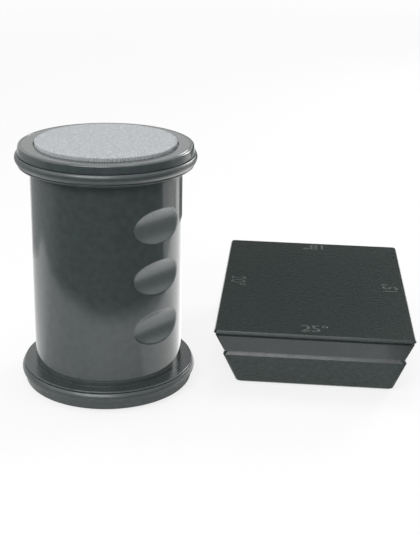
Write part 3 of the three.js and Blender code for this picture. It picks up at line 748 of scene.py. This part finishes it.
@dataclass
class Bearing:
    """A ball bearing in one end of the grip."""

    end: End
    radius: float = 11.0
    bore: float = 4.1
    pitch: float = 7.5
    groove: float = 2.125
    shoulder: float = 1.5086
    ball: float = 1.985
    balls: int = 7
    cage_half: float = 1.072
    cage_bridge: float = 0.7
    middle: float = (BEARING_START + BEARING_END) / 2

    def race(self, side: int) -> Skin:
        """A race: a ring with rounded edges, its shoulder hollowed by the balls' groove.

        Args:
            side: 1 for the outer race, -1 for the inner one.

        Returns:
            The race of the lower end.
        """
        back, shoulder = self.radius if side > 0 else self.bore, self.pitch + side * self.shoulder
        half = math.degrees(math.acos(self.shoulder / self.groove))
        facing = 0 if side > 0 else 180
        hollow = arc(self.pitch, self.middle, self.groove, facing + side * half, facing - side * half, 20)
        corners = rounded([
            (shoulder, BEARING_START, 0.15), (back, BEARING_START, 0.4),
            (back, BEARING_END, 0.4), (shoulder, BEARING_END, 0.15),
        ])
        return revolve(np.vstack([corners, hollow]), 144)

    def cage(self) -> Skin:
        """The crown cage: a ring whose open edge is notched by a round pocket at each ball.

        The open edge lies a quarter of a ball from the balls' middle. Within a pocket's half width p it is
        the pocket's roof, middle + sqrt(p^2 - s^2), with s the distance round the ring from the ball.
        """
        pocket, middle, share = self.groove + 0.1, self.middle, TURN / self.balls
        width = pocket / self.pitch
        inside = np.sin(np.linspace(-math.pi / 2, math.pi / 2, 25)) * width
        between = np.linspace(width, share - width, 8)[1:-1]
        pitches = [np.concatenate([inside, between]) + i * share for i in range(self.balls)]
        turn = np.concatenate(pitches)[None]
        beside = (turn + share / 2) % share - share / 2
        roof = middle + np.sqrt(np.maximum(pocket**2 - (beside * self.pitch) ** 2, 0))
        edge = np.where(np.abs(beside) < width * 0.9999, roof, middle - self.ball / 2)
        top = 0 * edge + middle + self.groove + self.cage_bridge
        r = np.array([-1, -1, -0.9, 0.9, 1, 1, 1, 0.9, -0.9, -1])[:, None] * self.cage_half + self.pitch
        rises, drops = (0.4, 0.1, 0, 0, 0.1, 0.4), (0.1, 0, 0, 0.1)
        z = np.vstack([edge + rise for rise in rises] + [top - drop for drop in drops])
        return Skin(about_axle(r, turn, z).reshape(-1, 3), (lattice(*z.shape, True),))

    def build(self) -> None:
        """Makes the races, the cage and the balls."""
        end, name = self.end, self.end.value
        cage, height = f"{name}_cage", self.middle if end is End.LOWER else ROLLER_HEIGHT - self.middle
        end.make("outer_ring", self.race(1), BEARING_STEEL, "handle", "outer_race")
        end.make("inner_ring", self.race(-1), BEARING_STEEL, "wheels", "inner_race")
        end.make("crown_cage", self.cage(), CAGE_NYLON, cage, "ball_cage")
        ball = revolve(arc(0, 0, self.ball, -90, 90, 24), 40)
        for i in range(self.balls):
            turn = i * TURN / self.balls
            mesh = ball.moved(self.pitch * math.cos(turn), self.pitch * math.sin(turn), height).mesh()
            make_piece(f"{name}_steel_ball_{i + 1}", mesh, BEARING_STEEL, cage, f"{name}_ball_{i + 1}")


@dataclass
class WheelEnd:
    """One wheel with its tyre, its plate, and what bonds and clamps them."""

    end: End
    face: float = 1.0
    face_radius: float = 28.75
    line_radius: float = 27.85
    line_half: float = 0.16
    line_depth: float = 0.2
    band_radius: float = 29.15
    band_end: float = 3.7
    seat_radius: float = 27.45
    seat_end: float = 7.05
    lip_radius: float = 29.05
    bore: float = 4.1
    washer_top: float = 4.6
    washer_radius: float = 6.0
    screw_pocket: float = 6.5
    dust_ring: float = 25.2
    dust_wall: float = 2.6
    dust_rise: float = 1.82
    tyre_radius: float = 30.0
    tyre_crest: float = 0.42
    tyre_drops: tuple[float, float] = (0.5, 0.8)
    tyre_edge: float = 0.12
    plate_pocket: float = 23.75
    plate_radius: float = 23.4
    plate_top: float = 1.5
    pad_radius: float = 22.6
    pad_top: float = 2.0
    serrations: int = 180
    serration_depth: float = 0.8
    ring_pitch: float = 0.8
    ring_depth: float = 0.07
    columns: int = 480

    def wheel(self) -> Skin:
        """The wheel: band, tyre seat and lip round a disc with pockets for plate and screw.

        A fine line is sunk into its outer face, and a low dust ring stands on its other side.
        """
        face, line, half, inner = self.face, self.line_radius, self.line_half, WHEEL_INNER
        ring, inside, top = self.dust_ring, self.dust_ring - self.dust_wall, inner + self.dust_rise
        return revolve(rounded([
            (inside, inner, 0.2), (self.bore, inner, 0.3), (self.bore, self.washer_top, 0.12),
            (self.screw_pocket, self.washer_top, 0.12), (self.screw_pocket, self.pad_top, 0.15),
            (self.plate_pocket, self.pad_top, 0.15), (self.plate_pocket, face, 0.15),
            (line - half, face, 0.06), (line, face + self.line_depth, 0.06), (line + half, face, 0.06),
            (self.face_radius, face, 0.5), (self.band_radius, self.band_end, 0.12),
            (self.seat_radius, self.band_end, 0.12), (self.seat_radius, self.seat_end, 0.1),
            (self.lip_radius, self.seat_end, 0.1), (self.lip_radius, inner, 0.2),
            (ring, inner, 0.06), (ring, top, 0.05), (inside, top, 0.2),
        ]), self.columns)

    def facing_grip(self, wheel: Skin) -> Array:
        """Which faces of the wheel are its flat side towards the grip."""
        x, y, height = wheel.middles().T
        return (np.abs(height - WHEEL_INNER) < 0.02) & (np.hypot(x, y) > self.dust_ring)

    def tyre(self) -> Skin:
        """The tyre: its crown falls away on each side of its crest as a parabola.

        With s the share of the way across and c the share at the crest, r falls by drop ((s - c) / c)^2
        before the crest and by drop ((s - c) / (1 - c))^2 behind it, with a drop of its own on each side.
        """
        start, end, crest = self.band_end + 0.12, self.seat_end - 0.2, self.tyre_crest
        across = np.linspace(0, 1, 33)
        side = np.where(across < crest, crest, 1 - crest)
        drop = np.where(across < crest, *self.tyre_drops) * ((across - crest) / side) ** 2
        crown = np.stack([self.tyre_radius - drop, start + (end - start) * across], 1)
        foot, first, last = self.seat_radius + 0.1, *(crown[[0, -1], 0] - self.tyre_edge)
        outline = [(foot, end), (foot, start), (first, start), *crown, (last, end)]
        return revolve(np.array(outline), self.columns)

    def abrasive_plate(self) -> Skin:
        """The gritted plate, drawn for the lower end: its rim is cut by fine straight serrations.

        In the rim r falls by depth (1 - cos(n t)) / 2, with n serrations round the plate. Points further in
        keep its flat faces plain.
        """
        cut_from, plain = self.plate_radius - 1.0, self.plate_radius - 1.4
        outline = disc(self.plate_radius, 0, self.plate_top, 0.15, 0.1)
        low, high = [(plain, 0)], [(plain, self.plate_top)]
        outline = np.vstack([outline[:1], low, outline[1:-1], high, outline[-1:]])

        def serrate(radius: Array, _height: Array, turn: Array) -> Array:
            """Cuts the serrations into the rim alone."""
            rim = radius > cut_from
            return radius - rim * self.serration_depth * (1 - np.cos(self.serrations * turn)) / 2

        return revolve(outline, self.serrations * 6, serrate)

    def painted_light_rim(self, plate: Skin) -> Array:
        """Which faces of the gritted plate stand in its serrated rim, which is painted lighter as painted
        light.
        """
        x, y, height = plate.middles().T
        return (np.hypot(x, y) > self.plate_radius - self.serration_depth - 0.1) & (height > 0.04)

    def honing_plate(self) -> Skin:
        """The honing plate: rings of rounded ridges on its face, z = depth (1 + cos(2 pi r / pitch)) / 2."""
        hub, first, last = 1.6, 2.0, self.plate_radius - 0.8
        r = np.arange(first, last, self.ring_pitch / 8)
        z = self.ring_depth * (1 + np.cos(TURN * r / self.ring_pitch)) / 2
        edge = disc(self.plate_radius, 0, self.plate_top, 0.15, 0.15)[1:]
        return revolve(np.vstack([[(0, 0), (hub, 0)], np.stack([r, z], 1), edge]), 150)

    def build(self) -> None:
        """Makes the wheel and everything on it."""
        make, wheel = self.end.make, self.wheel()
        satin = (WHEEL_SATIN, self.facing_grip(wheel))
        washer = tube(HUB_SCREW.radius + 0.1, self.washer_radius, HUB_SCREW.seat, self.washer_top, 0.15)
        pad = disc(self.pad_radius, self.plate_top, self.pad_top, 0.1, 0.1)
        make("wheel_moulding", wheel, WHEEL_PLASTIC, "wheels", "wheel", second=satin)
        make("tyre_ring", self.tyre(), TYRE_RUBBER, "wheels", "tyre")
        make("clamp_washer", revolve(washer, 96), SHAFT_STEEL, "wheels", "washer")
        make("socket_screw", HUB_SCREW.skin(), SHAFT_STEEL, "wheels", "hub_screw")
        make("foam_pad", revolve(pad, 128), BOND_TAPE, "wheels", "bond_pad")
        if self.end is End.UPPER:
            plate = self.abrasive_plate()
            # The rim gets a lighter finish: painted light.
            rim, mesh = (GRITTED_RIM_PAINTED_LIGHT, self.painted_light_rim(plate)), plate.turned_over().mesh()
            make_piece("gritted_plate", mesh, DIAMOND_GRIT, "wheels", "abrasive_plate", second=rim)
        else:
            make_piece("ringed_plate", self.honing_plate().mesh(), HONING_STEEL, "wheels", "honing_plate")


@dataclass
class Shaft:
    """The axle and its spacers, which turn with the wheels."""

    radius: float = 4.0
    start: float = 4.9
    tap_radius: float = 2.4
    tap_depth: float = 11.0
    spacer_bore: float = 4.1
    spacer_radius: float = 5.6

    def axle(self) -> Skin:
        """The axle: a bar with chamfered ends, tapped at both."""
        start, end, tap, depth = self.start, ROLLER_HEIGHT - self.start, self.tap_radius, self.tap_depth
        return revolve(rounded([
            (0, start + depth, 0), (tap, start + depth, 0.1), (tap, start, 0.3), (self.radius, start, 0.5),
            (self.radius, end, 0.5), (tap, end, 0.3), (tap, end - depth, 0.1), (0, end - depth, 0),
        ], closed=False), 96)

    def spacer(self, low: float, high: float) -> Skin:
        """A spacer between two heights."""
        return revolve(tube(self.spacer_bore, self.spacer_radius, low, high, 0.2), 96)

    def build(self) -> None:
        """Makes the axle, the long spacer and the two short ones."""
        make_piece("tapped_axle", self.axle().mesh(), SHAFT_STEEL, "wheels", "axle")
        long = self.spacer(BEARING_END, ROLLER_HEIGHT - BEARING_END)
        make_piece("long_spacer", long.mesh(), SHAFT_STEEL, "wheels", "axle_spacer")
        short = self.spacer(WHEEL_INNER, BEARING_START)
        for end in End:
            end.make("short_spacer", short, SHAFT_STEEL, "wheels", "hub_spacer")


# Angle block


class Side(Enum):
    """The block's walls anticlockwise, each with the way it faces and its lean in degrees."""

    RIGHT = ((1, 0), 15)
    BACK = ((0, 1), 18)
    LEFT = ((-1, 0), 20)
    FRONT = ((0, -1), 25)

    def __init__(self, facing: tuple[int, int], lean: int) -> None:
        """Keeps the level direction that the wall faces, and its lean."""
        self.facing, self.lean = facing, lean


@dataclass
class AngleBlock:
    """The block that holds a blade: cap, tray, foot, what fastens and weights them, and the numbers."""

    x: float = 71.3
    y: float = 35.0
    width: float = 68.0
    length: float = 94.0
    height: float = 24.0
    corner: float = 1.2
    seam: float = 14.6
    ceiling: float = 21.8
    floor: float = 3.2
    tray_wall: float = 2.0
    cap_wall: float = 3.7
    skirt: float = 3.0
    skirt_face: float = 2.3
    groove: float = 0.7
    groove_span: tuple[float, float] = (1.0, 2.1)
    post_inset: float = 3.8
    post_radius: float = 3.0
    post_bore: float = 1.5
    foot_top: float = 1.0
    foot_inset: float = 1.5
    ledge: float = 1.2
    core: float = 6.0
    number_height: float = 5.6
    number_width: float = 0.92
    number_margin: float = 3.2
    number_rise: float = 0.28

    def reach(self, side: Side, height: Array, inset: Array) -> Array:
        """Distance of a wall from the block's middle at a height, less an inset that is square to it."""
        lean = math.radians(side.lean)
        half = (self.width if side.facing[0] else self.length) / 2
        return half - (self.height - height) * math.tan(lean) - inset / math.cos(lean)

    def posts(self) -> list[tuple[float, float]]:
        """Middles of the four screw posts."""
        right, back, left, front = (
            self.reach(side, self.floor, self.tray_wall) - self.post_inset for side in Side
        )
        x0, x1, y0, y1 = self.x - left, self.x + right, self.y - front, self.y + back
        return [(x0, y0), (x1, y0), (x1, y1), (x0, y1)]

    def rings(self, outline: Array) -> Skin:
        """A tapered body through level rings.

        A point of a ring is f a + g b from the block's middle, with f and g the ways that a wall and the
        next one face. In a corner a = reach of the wall - c (1 - cos t) and b = reach of the next - c
        (1 - sin t), with t from 0 to 90 degrees and c the corner's radius. Walls run between corners.

        Args:
            outline: (distance out from the wall's face, height) of each ring, anticlockwise from the middle
                of the underside or of the ceiling.

        Returns:
            The closed body, its first and last ring each filled by one flat face.
        """
        out, height = outline[:, 0][:, None], outline[:, 1][:, None]
        turn = np.radians(np.linspace(0, 90, 9))
        sides, columns = list(Side), []
        for side, following in zip(sides, sides[1:] + sides[:1]):
            a = self.reach(side, height, -out) - self.corner * (1 - np.cos(turn))
            b = self.reach(following, height, -out) - self.corner * (1 - np.sin(turn))
            a = np.hstack([a[:, :1], a, a[:, -1:] - GUARD])
            b = np.hstack([b[:, :1] - GUARD, b, b[:, -1:]])
            (fx, fy), (gx, gy) = side.facing, following.facing
            x, y = self.x + fx * a + gx * b, self.y + fy * a + gy * b
            columns.append(np.stack([x, y, height + 0 * a], -1))
        points = np.concatenate(columns, 1)
        rows, count = points.shape[:2]
        first = np.arange(count)[::-1][None]
        last = ((rows - 1) * count + np.arange(count))[None]
        return Skin(points.reshape(-1, 3), (lattice(rows, count, False), first, last))

    def cap(self) -> Skin:
        """The cap: top face and upper walls, the skirt inside the tray, and the posts for the screws.

        A groove and a bright bevel run round under its top edge; the groove's faces take the top's darker
        finish as painted shade.
        """
        wall, skirt, outer, rim = -self.cap_wall, self.seam - self.skirt, -self.skirt_face, self.seam + 0.2
        core, top, groove, (high, low) = wall - 3, self.height, -self.groove, self.groove_span
        body = self.rings(rounded([
            (core, self.ceiling, 0), (wall, self.ceiling, 0.4), (wall, skirt, 0.25), (outer, skirt, 0.25),
            (outer, rim, 0.15), (-0.2, rim, 0.12), (-0.05, top - low, 0.05),
            (groove, top - low + 0.12, 0.04), (groove, top - high - 0.1, 0.04), (0, top - high, 0.04),
            (0, top - 0.8, 0.08), (groove, top, 0.08), (core, top, 0),
        ], closed=False, steps=5))
        post = revolve(tube(self.post_bore, self.post_radius, self.floor, self.ceiling + 0.3, 0.2), 40)
        return body.joined(*(post.moved(x, y) for x, y in self.posts()))

    def top_and_painted_groove_shade(self, cap: Skin) -> Array:
        """Which faces take the top's finish: the top itself, and the groove under its edge, where that
        darker finish is painted shade.
        """
        depth, (high, low) = self.height - cap.middles()[:, 2], self.groove_span
        return (depth < 0.02) | ((depth > high + 0.02) & (depth < low - 0.02))

    def tray(self) -> Skin:
        """The tray: its top edge is bevelled below the seam, and its underside is hollowed for the foot."""
        core, seam, wall, foot = -self.core, self.seam, -self.tray_wall, self.foot_top
        return self.rings(rounded([
            (core, foot, 0), (-1.2, foot, 0.1), (-1.2, 0.5, 0.1), (-0.2, 0.5, 0.15), (0.5, 1.3, 0.4),
            (0.5, seam - self.ledge, 0.2), (-0.7, seam, 0.15), (wall, seam, 0.2), (wall, self.floor, 0.5),
            (core, self.floor, 0),
        ], closed=False))

    def foot(self) -> Skin:
        """The rubber sheet that the block stands on."""
        core, face, top = -self.core, -self.foot_inset, self.foot_top
        outline = rounded([(core, 0, 0), (face, 0, 0.2), (face, top, 0.15), (core, top, 0)], closed=False)
        return self.rings(outline)

    def number(self, side: Side) -> None:
        """Raises the angle of a wall on the top face, along that wall's edge, read from that side, in a
        lighter finish that is a painted highlight.

        The text's points are scaled to the number's height, then turned so that their tops point inwards.
        """
        name = f"number_{side.lean}"
        text = bpy.data.curves.new(name, "FONT")
        text.body, text.align_x, text.align_y = f"{side.lean}°", "CENTER", "CENTER"
        text.size, text.extrude, text.bevel_depth, text.bevel_resolution = 1.0, 0.01, 0.006, 0
        shape = placed(name + "_text", text)
        mesh = bpy.data.meshes.new_from_object(shape.evaluated_get(bpy.context.evaluated_depsgraph_get()))
        bpy.data.objects.remove(shape)
        points = np.empty(len(mesh.vertices) * 3)
        mesh.vertices.foreach_get("co", points)
        points = points.reshape(-1, 3)
        low, high = points.min(0), points.max(0)
        scale = self.number_height / (high[1] - low[1])
        factors = (scale * self.number_width, scale, self.number_rise * 2 / (high[2] - low[2]))
        across, along, up = ((points - (low + high) / 2) * factors).T
        fx, fy = side.facing
        middle = self.reach(side, self.height, 0) - self.number_margin - self.number_height / 2
        x = self.x + fx * middle - fy * across - fx * along
        y = self.y + fy * middle + fx * across - fy * along
        mesh.vertices.foreach_set("co", (np.stack([x, y, self.height + up], 1) * MM).ravel())
        mesh.update()
        make_piece(name, mesh, NUMBER_PAINTED_HIGHLIGHT, BLOCK)

    def bevelled(self, name: str, node: str, finish: Finish, bevel: float) -> None:
        """Makes a piece from a solid's own mesh, with a bevel of a width in millimetres."""
        make_piece(name, solid_mesh(node), finish, BLOCK, node, bevel=bevel)

    def build(self) -> None:
        """Makes every piece of the block."""
        cap, tray = self.cap(), self.tray()
        # The top's finish also darkens the groove under the cap's edge: painted shade.
        top = (BLOCK_TOP_AND_GROOVE_SHADE, self.top_and_painted_groove_shade(cap))
        ledge = (BLOCK_CAP_PLASTIC, tray.middles()[:, 2] > self.seam - self.ledge - 0.1)
        make_piece("cap_moulding", cap.mesh(), BLOCK_CAP_PLASTIC, BLOCK, "block_cap", second=top)
        make_piece("tray_moulding", tray.mesh(), BLOCK_TRAY_PLASTIC, BLOCK, "block_shell", second=ledge)
        make_piece("foot_sheet", self.foot().mesh(), FOOT_RUBBER, BLOCK, "block_foot")
        self.bevelled("ballast_slab", "block_ballast", BALLAST_STEEL, 0.4)
        for i, (x, y) in enumerate(self.posts(), 1):
            mesh = BLOCK_SCREW.skin().moved(x, y).mesh()
            make_piece(f"tray_screw_{i}", mesh, SHAFT_STEEL, BLOCK, f"block_screw_{i}")
        for side in Side:
            wall = side.name.lower()
            for i in (1, 2):
                self.bevelled(f"{wall}_bar_magnet_{i}", f"{wall}_magnet_{i}", MAGNET_NICKEL, 0.25)
            self.bevelled(f"{wall}_steel_yoke", f"{wall}_yoke", BALLAST_STEEL, 0.15)
            self.number(side)


# Studio


@dataclass(frozen=True)
class Viewpoint:
    """The camera: where it stands and how it is turned, as fitted to the photograph.

    Args:
        bearing: degrees round the axle from -Y towards +X.
        distance: millimetres from the axle.
        height: millimetres above the surface.
        pitch: degrees that it looks down.
        yaw: degrees that it looks past the axle, to the right.
        roll: degrees that it is turned about its own line of sight.
        focal: focal length in pixels of the picture.
        picture: height of the picture in pixels.
        sensor: longer side of the sensor in millimetres.
    """

    bearing: float = 9.936
    distance: float = 353.1
    height: float = 173.94
    pitch: float = 20.681
    yaw: float = 5.6747
    roll: float = 1.2921
    focal: float = 1100.0
    picture: int = 534
    sensor: float = 36.0

    def build(self) -> None:
        """Places the camera and makes it the scene's own."""
        yaw, pitch, roll = (math.radians(angle) for angle in (self.yaw, self.pitch, self.roll))
        ahead = Vector((math.sin(yaw) * math.cos(pitch), math.cos(yaw) * math.cos(pitch), -math.sin(pitch)))
        right = Vector((math.cos(yaw), -math.sin(yaw), 0))
        up = right.cross(ahead)
        across = math.cos(roll) * right + math.sin(roll) * up
        along = math.cos(roll) * up - math.sin(roll) * right
        turned = Matrix((across, along, -ahead)).transposed().to_4x4()
        place = Matrix.Translation((0, -self.distance * MM, self.height * MM))
        lens = bpy.data.cameras.new("photo_camera")
        lens.sensor_width, lens.lens = self.sensor, self.focal * self.sensor / self.picture
        lens.clip_start, lens.clip_end = 0.01, 20
        camera = placed("photo_camera", lens)
        camera.matrix_world = Matrix.Rotation(math.radians(self.bearing), 4, "Z") @ place @ turned
        bpy.context.scene.camera = camera


@dataclass
class Studio:
    """The pale floor, the soft lamps, the white surroundings and the cards that shape the reflections."""

    view: Viewpoint = Viewpoint()
    ambient: float = 0.36
    floor_half: float = 4000.0
    card_height: float = 0.4
    lamp_aim: tuple[float, float, float] = (30, 10, 30)

    def floor(self) -> None:
        """A wide pale floor.

        To the camera it is nearly plain white, all white far off, and keeps a faint shadow.
        """
        shader = Shader(bpy.data.materials.new("pale_floor"))
        glow = shader.node("Emission", {"Color": (1, 1, 1, 1), "Strength": 1.0})
        white = shader.remap(shader.radius(), 0.8, 1.0, 0.3, 1.2)
        seen = shader.node("LightPath", out="Is Camera Ray")
        seen = shader.node("Math", {0: seen, 1: white}, operation="MULTIPLY")
        pale = shader.nodes[SURFACE]
        shader.fill(pale, {"Base Color": (0.95, 0.95, 0.95, 1), "Roughness": 0.9, "IOR": 1.2})
        shader.show(shader.node("MixShader", {0: seen, 1: pale.outputs[0], 2: glow}))
        corners = self.floor_half * np.array([(-1, -1, 0), (1, -1, 0), (1, 1, 0), (-1, 1, 0)])
        mesh = Skin(corners, (np.array([(0, 1, 2, 3)]),)).mesh()
        mesh.materials.append(shader.owner)
        floor = placed("floor", mesh)

    def fan(
        self, name: str, angles: Sequence[float], near: float | Sequence[float],
        far: float | Sequence[float], tones: Sequence[float], rise: float = 0.0, fade: float = 0.0,
    ) -> None:
        """A card on the floor round the roller, whose far edge may rise to the horizon.

        Args:
            name: name of the card.
            angles: degrees from the camera's bearing where the next three hold, with even steps between.
            near: radius of the near edge.
            far: radius of the far edge.
            tones: how light it is.
            rise: height of the far edge over the near one.
            fade: how far inside the near edge it starts to differ from the floor.
        """
        angle = np.linspace(angles[0], angles[-1], 64)
        inner, outer, tone = (
            np.interp(angle, angles, np.broadcast_to(values, len(angles))) for values in (near, far, tones)
        )
        turn = np.radians(self.view.bearing - 90 + angle)
        radius = np.stack([inner - fade, inner + 0.02, 0.9 * outer + 0.1 * inner, outer])
        height = self.card_height + np.array([0, 0, 0, rise])[:, None]
        light = np.stack([tone + (1 - tone) * (fade > 0), tone, tone, tone])
        self.card(name, about_axle(radius, turn, height), light)

    def card(self, name: str, grid: Array, tone: Array) -> None:
        """A card that is seen in reflections alone.

        Args:
            name: name of the card.
            grid: its points, in rows.
            tone: how light it is at each point.
        """
        rows, columns = tone.shape
        corner = (np.arange(rows - 1)[:, None] * columns + np.arange(columns - 1)).ravel()
        faces = np.stack([corner, corner + columns, corner + columns + 1, corner + 1], -1)
        mesh = Skin(grid.reshape(-1, 3), (faces,)).mesh()
        tones = mesh.attributes.new("tone", "FLOAT", "POINT")
        tones.data.foreach_set("value", tone.ravel().astype(np.float32))
        shader = Shader(bpy.data.materials.new(name))
        tint = shader.node("Attribute", out="Fac", attribute_name="tone")
        shader.show(shader.node("Emission", {"Strength": tint}))
        mesh.materials.append(shader.owner)
        card = placed(name, mesh)
        card.visible_camera = card.visible_diffuse = card.visible_shadow = card.visible_transmission = False

    def lamp(self, name: str, place: tuple[float, ...], size: tuple[float, float], power: float) -> None:
        """A soft oblong lamp, aimed at the object.

        Args:
            name: name of the lamp.
            place: where it hangs, in millimetres.
            size: its width and height in millimetres.
            power: its power in watts.
        """
        light = bpy.data.lights.new(name, "AREA")
        light.shape = "RECTANGLE"
        light.size, light.size_y, light.energy = size[0] * MM, size[1] * MM, power
        where, aim = Vector(place) * MM, Vector(self.lamp_aim) * MM
        facing = (aim - where).to_track_quat("-Z", "Y").to_matrix().to_4x4()
        placed(name, light).matrix_world = Matrix.Translation(where) @ facing

    def surroundings(self) -> None:
        """A soft grey light from all round, and plain white wherever the camera or a reflection looks."""
        shader = Shader(bpy.data.worlds.new("surroundings"))
        seen = shader.node("LightPath", out="Is Camera Ray")
        for ray in ("Is Glossy Ray", "Is Transmission Ray"):
            seen = shader.node("Math", {0: seen, 1: shader.node("LightPath", out=ray)}, operation="MAXIMUM")
        plain = shader.node("Background", {"Color": (1, 1, 1, 1), "Strength": 1.0})
        soft = shader.nodes["Background"]
        shader.fill(soft, {"Color": (1, 1, 1, 1), "Strength": self.ambient})
        shader.show(shader.node("MixShader", {0: seen, 1: soft.outputs[0], 2: plain}), "World Output")
        bpy.context.scene.world = shader.owner

    def build(self) -> None:
        """Sets the whole scene round the object."""
        self.view.build()
        self.surroundings()
        self.floor()
        self.lamp("overhead", (20, 30, 700), (380, 380), 1.5)
        self.lamp("front_key", (-130, -610, 560), (620, 220), 3.3)
        self.lamp("left_fill", (-600, -250, 350), (400, 400), 0.4)
        self.lamp("right_rim", (450, 540, 300), (250, 250), 2.0)
        self.fan(
            "dark_belt", angles=(-150, -125, -112, -104, -89, -70, -50, -20, 20, 45, 70, 88),
            near=(148, 156, 186, 182, 144, 130, 122, 110, 108, 110, 116, 125), far=1000,
            tones=(0.58, 0.58, 0.56, 0.54, 0.44, 0.14, 0.05, 0.04, 0.04, 0.05, 0.1, 0.25), rise=320, fade=18,
        )
        self.fan(
            "left_glow", angles=(-165, -140, -125, -112, -104, -92), near=36,
            far=(130, 131, 138, 168, 164, 126), tones=(1.05, 1.1, 1.2, 1.3, 1.25, 1.1),
        )
        self.fan(
            "right_glow", angles=(40, 70, 88, 95, 112, 165), near=36,
            far=(90, 98, 107, 150, 185, 185), tones=(1.1, 1.5, 1.7, 1.8, 2.2, 2.0),
        )
        self.fan(
            "limb_streaks", angles=(104, 113, 121, 124, 134, 138, 158, 162, 168), near=186, far=270,
            tones=(1.15, 1.1, 0.75, 1.7, 1.7, 0.25, 0.2, 0.9, 1.0),
        )
        behind = np.array([[(15, 170, z), (140, 170, z)] for z in (46, 118)], float)
        self.card("dark_back", behind, np.full((2, 2), 0.02))
        bpy.context.scene.view_settings.view_transform = "Standard"


def write_sizes() -> None:
    """Brings the scene's placements up to date."""
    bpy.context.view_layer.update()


def main() -> None:
    """Builds the studio, the roller and the block in order."""
    Studio().build()
    Grip().build()
    Shaft().build()
    for end in End:
        Bearing(end).build()
        WheelEnd(end).build()
    AngleBlock().build()
    write_sizes()


if __name__ == "__main__":
    main()
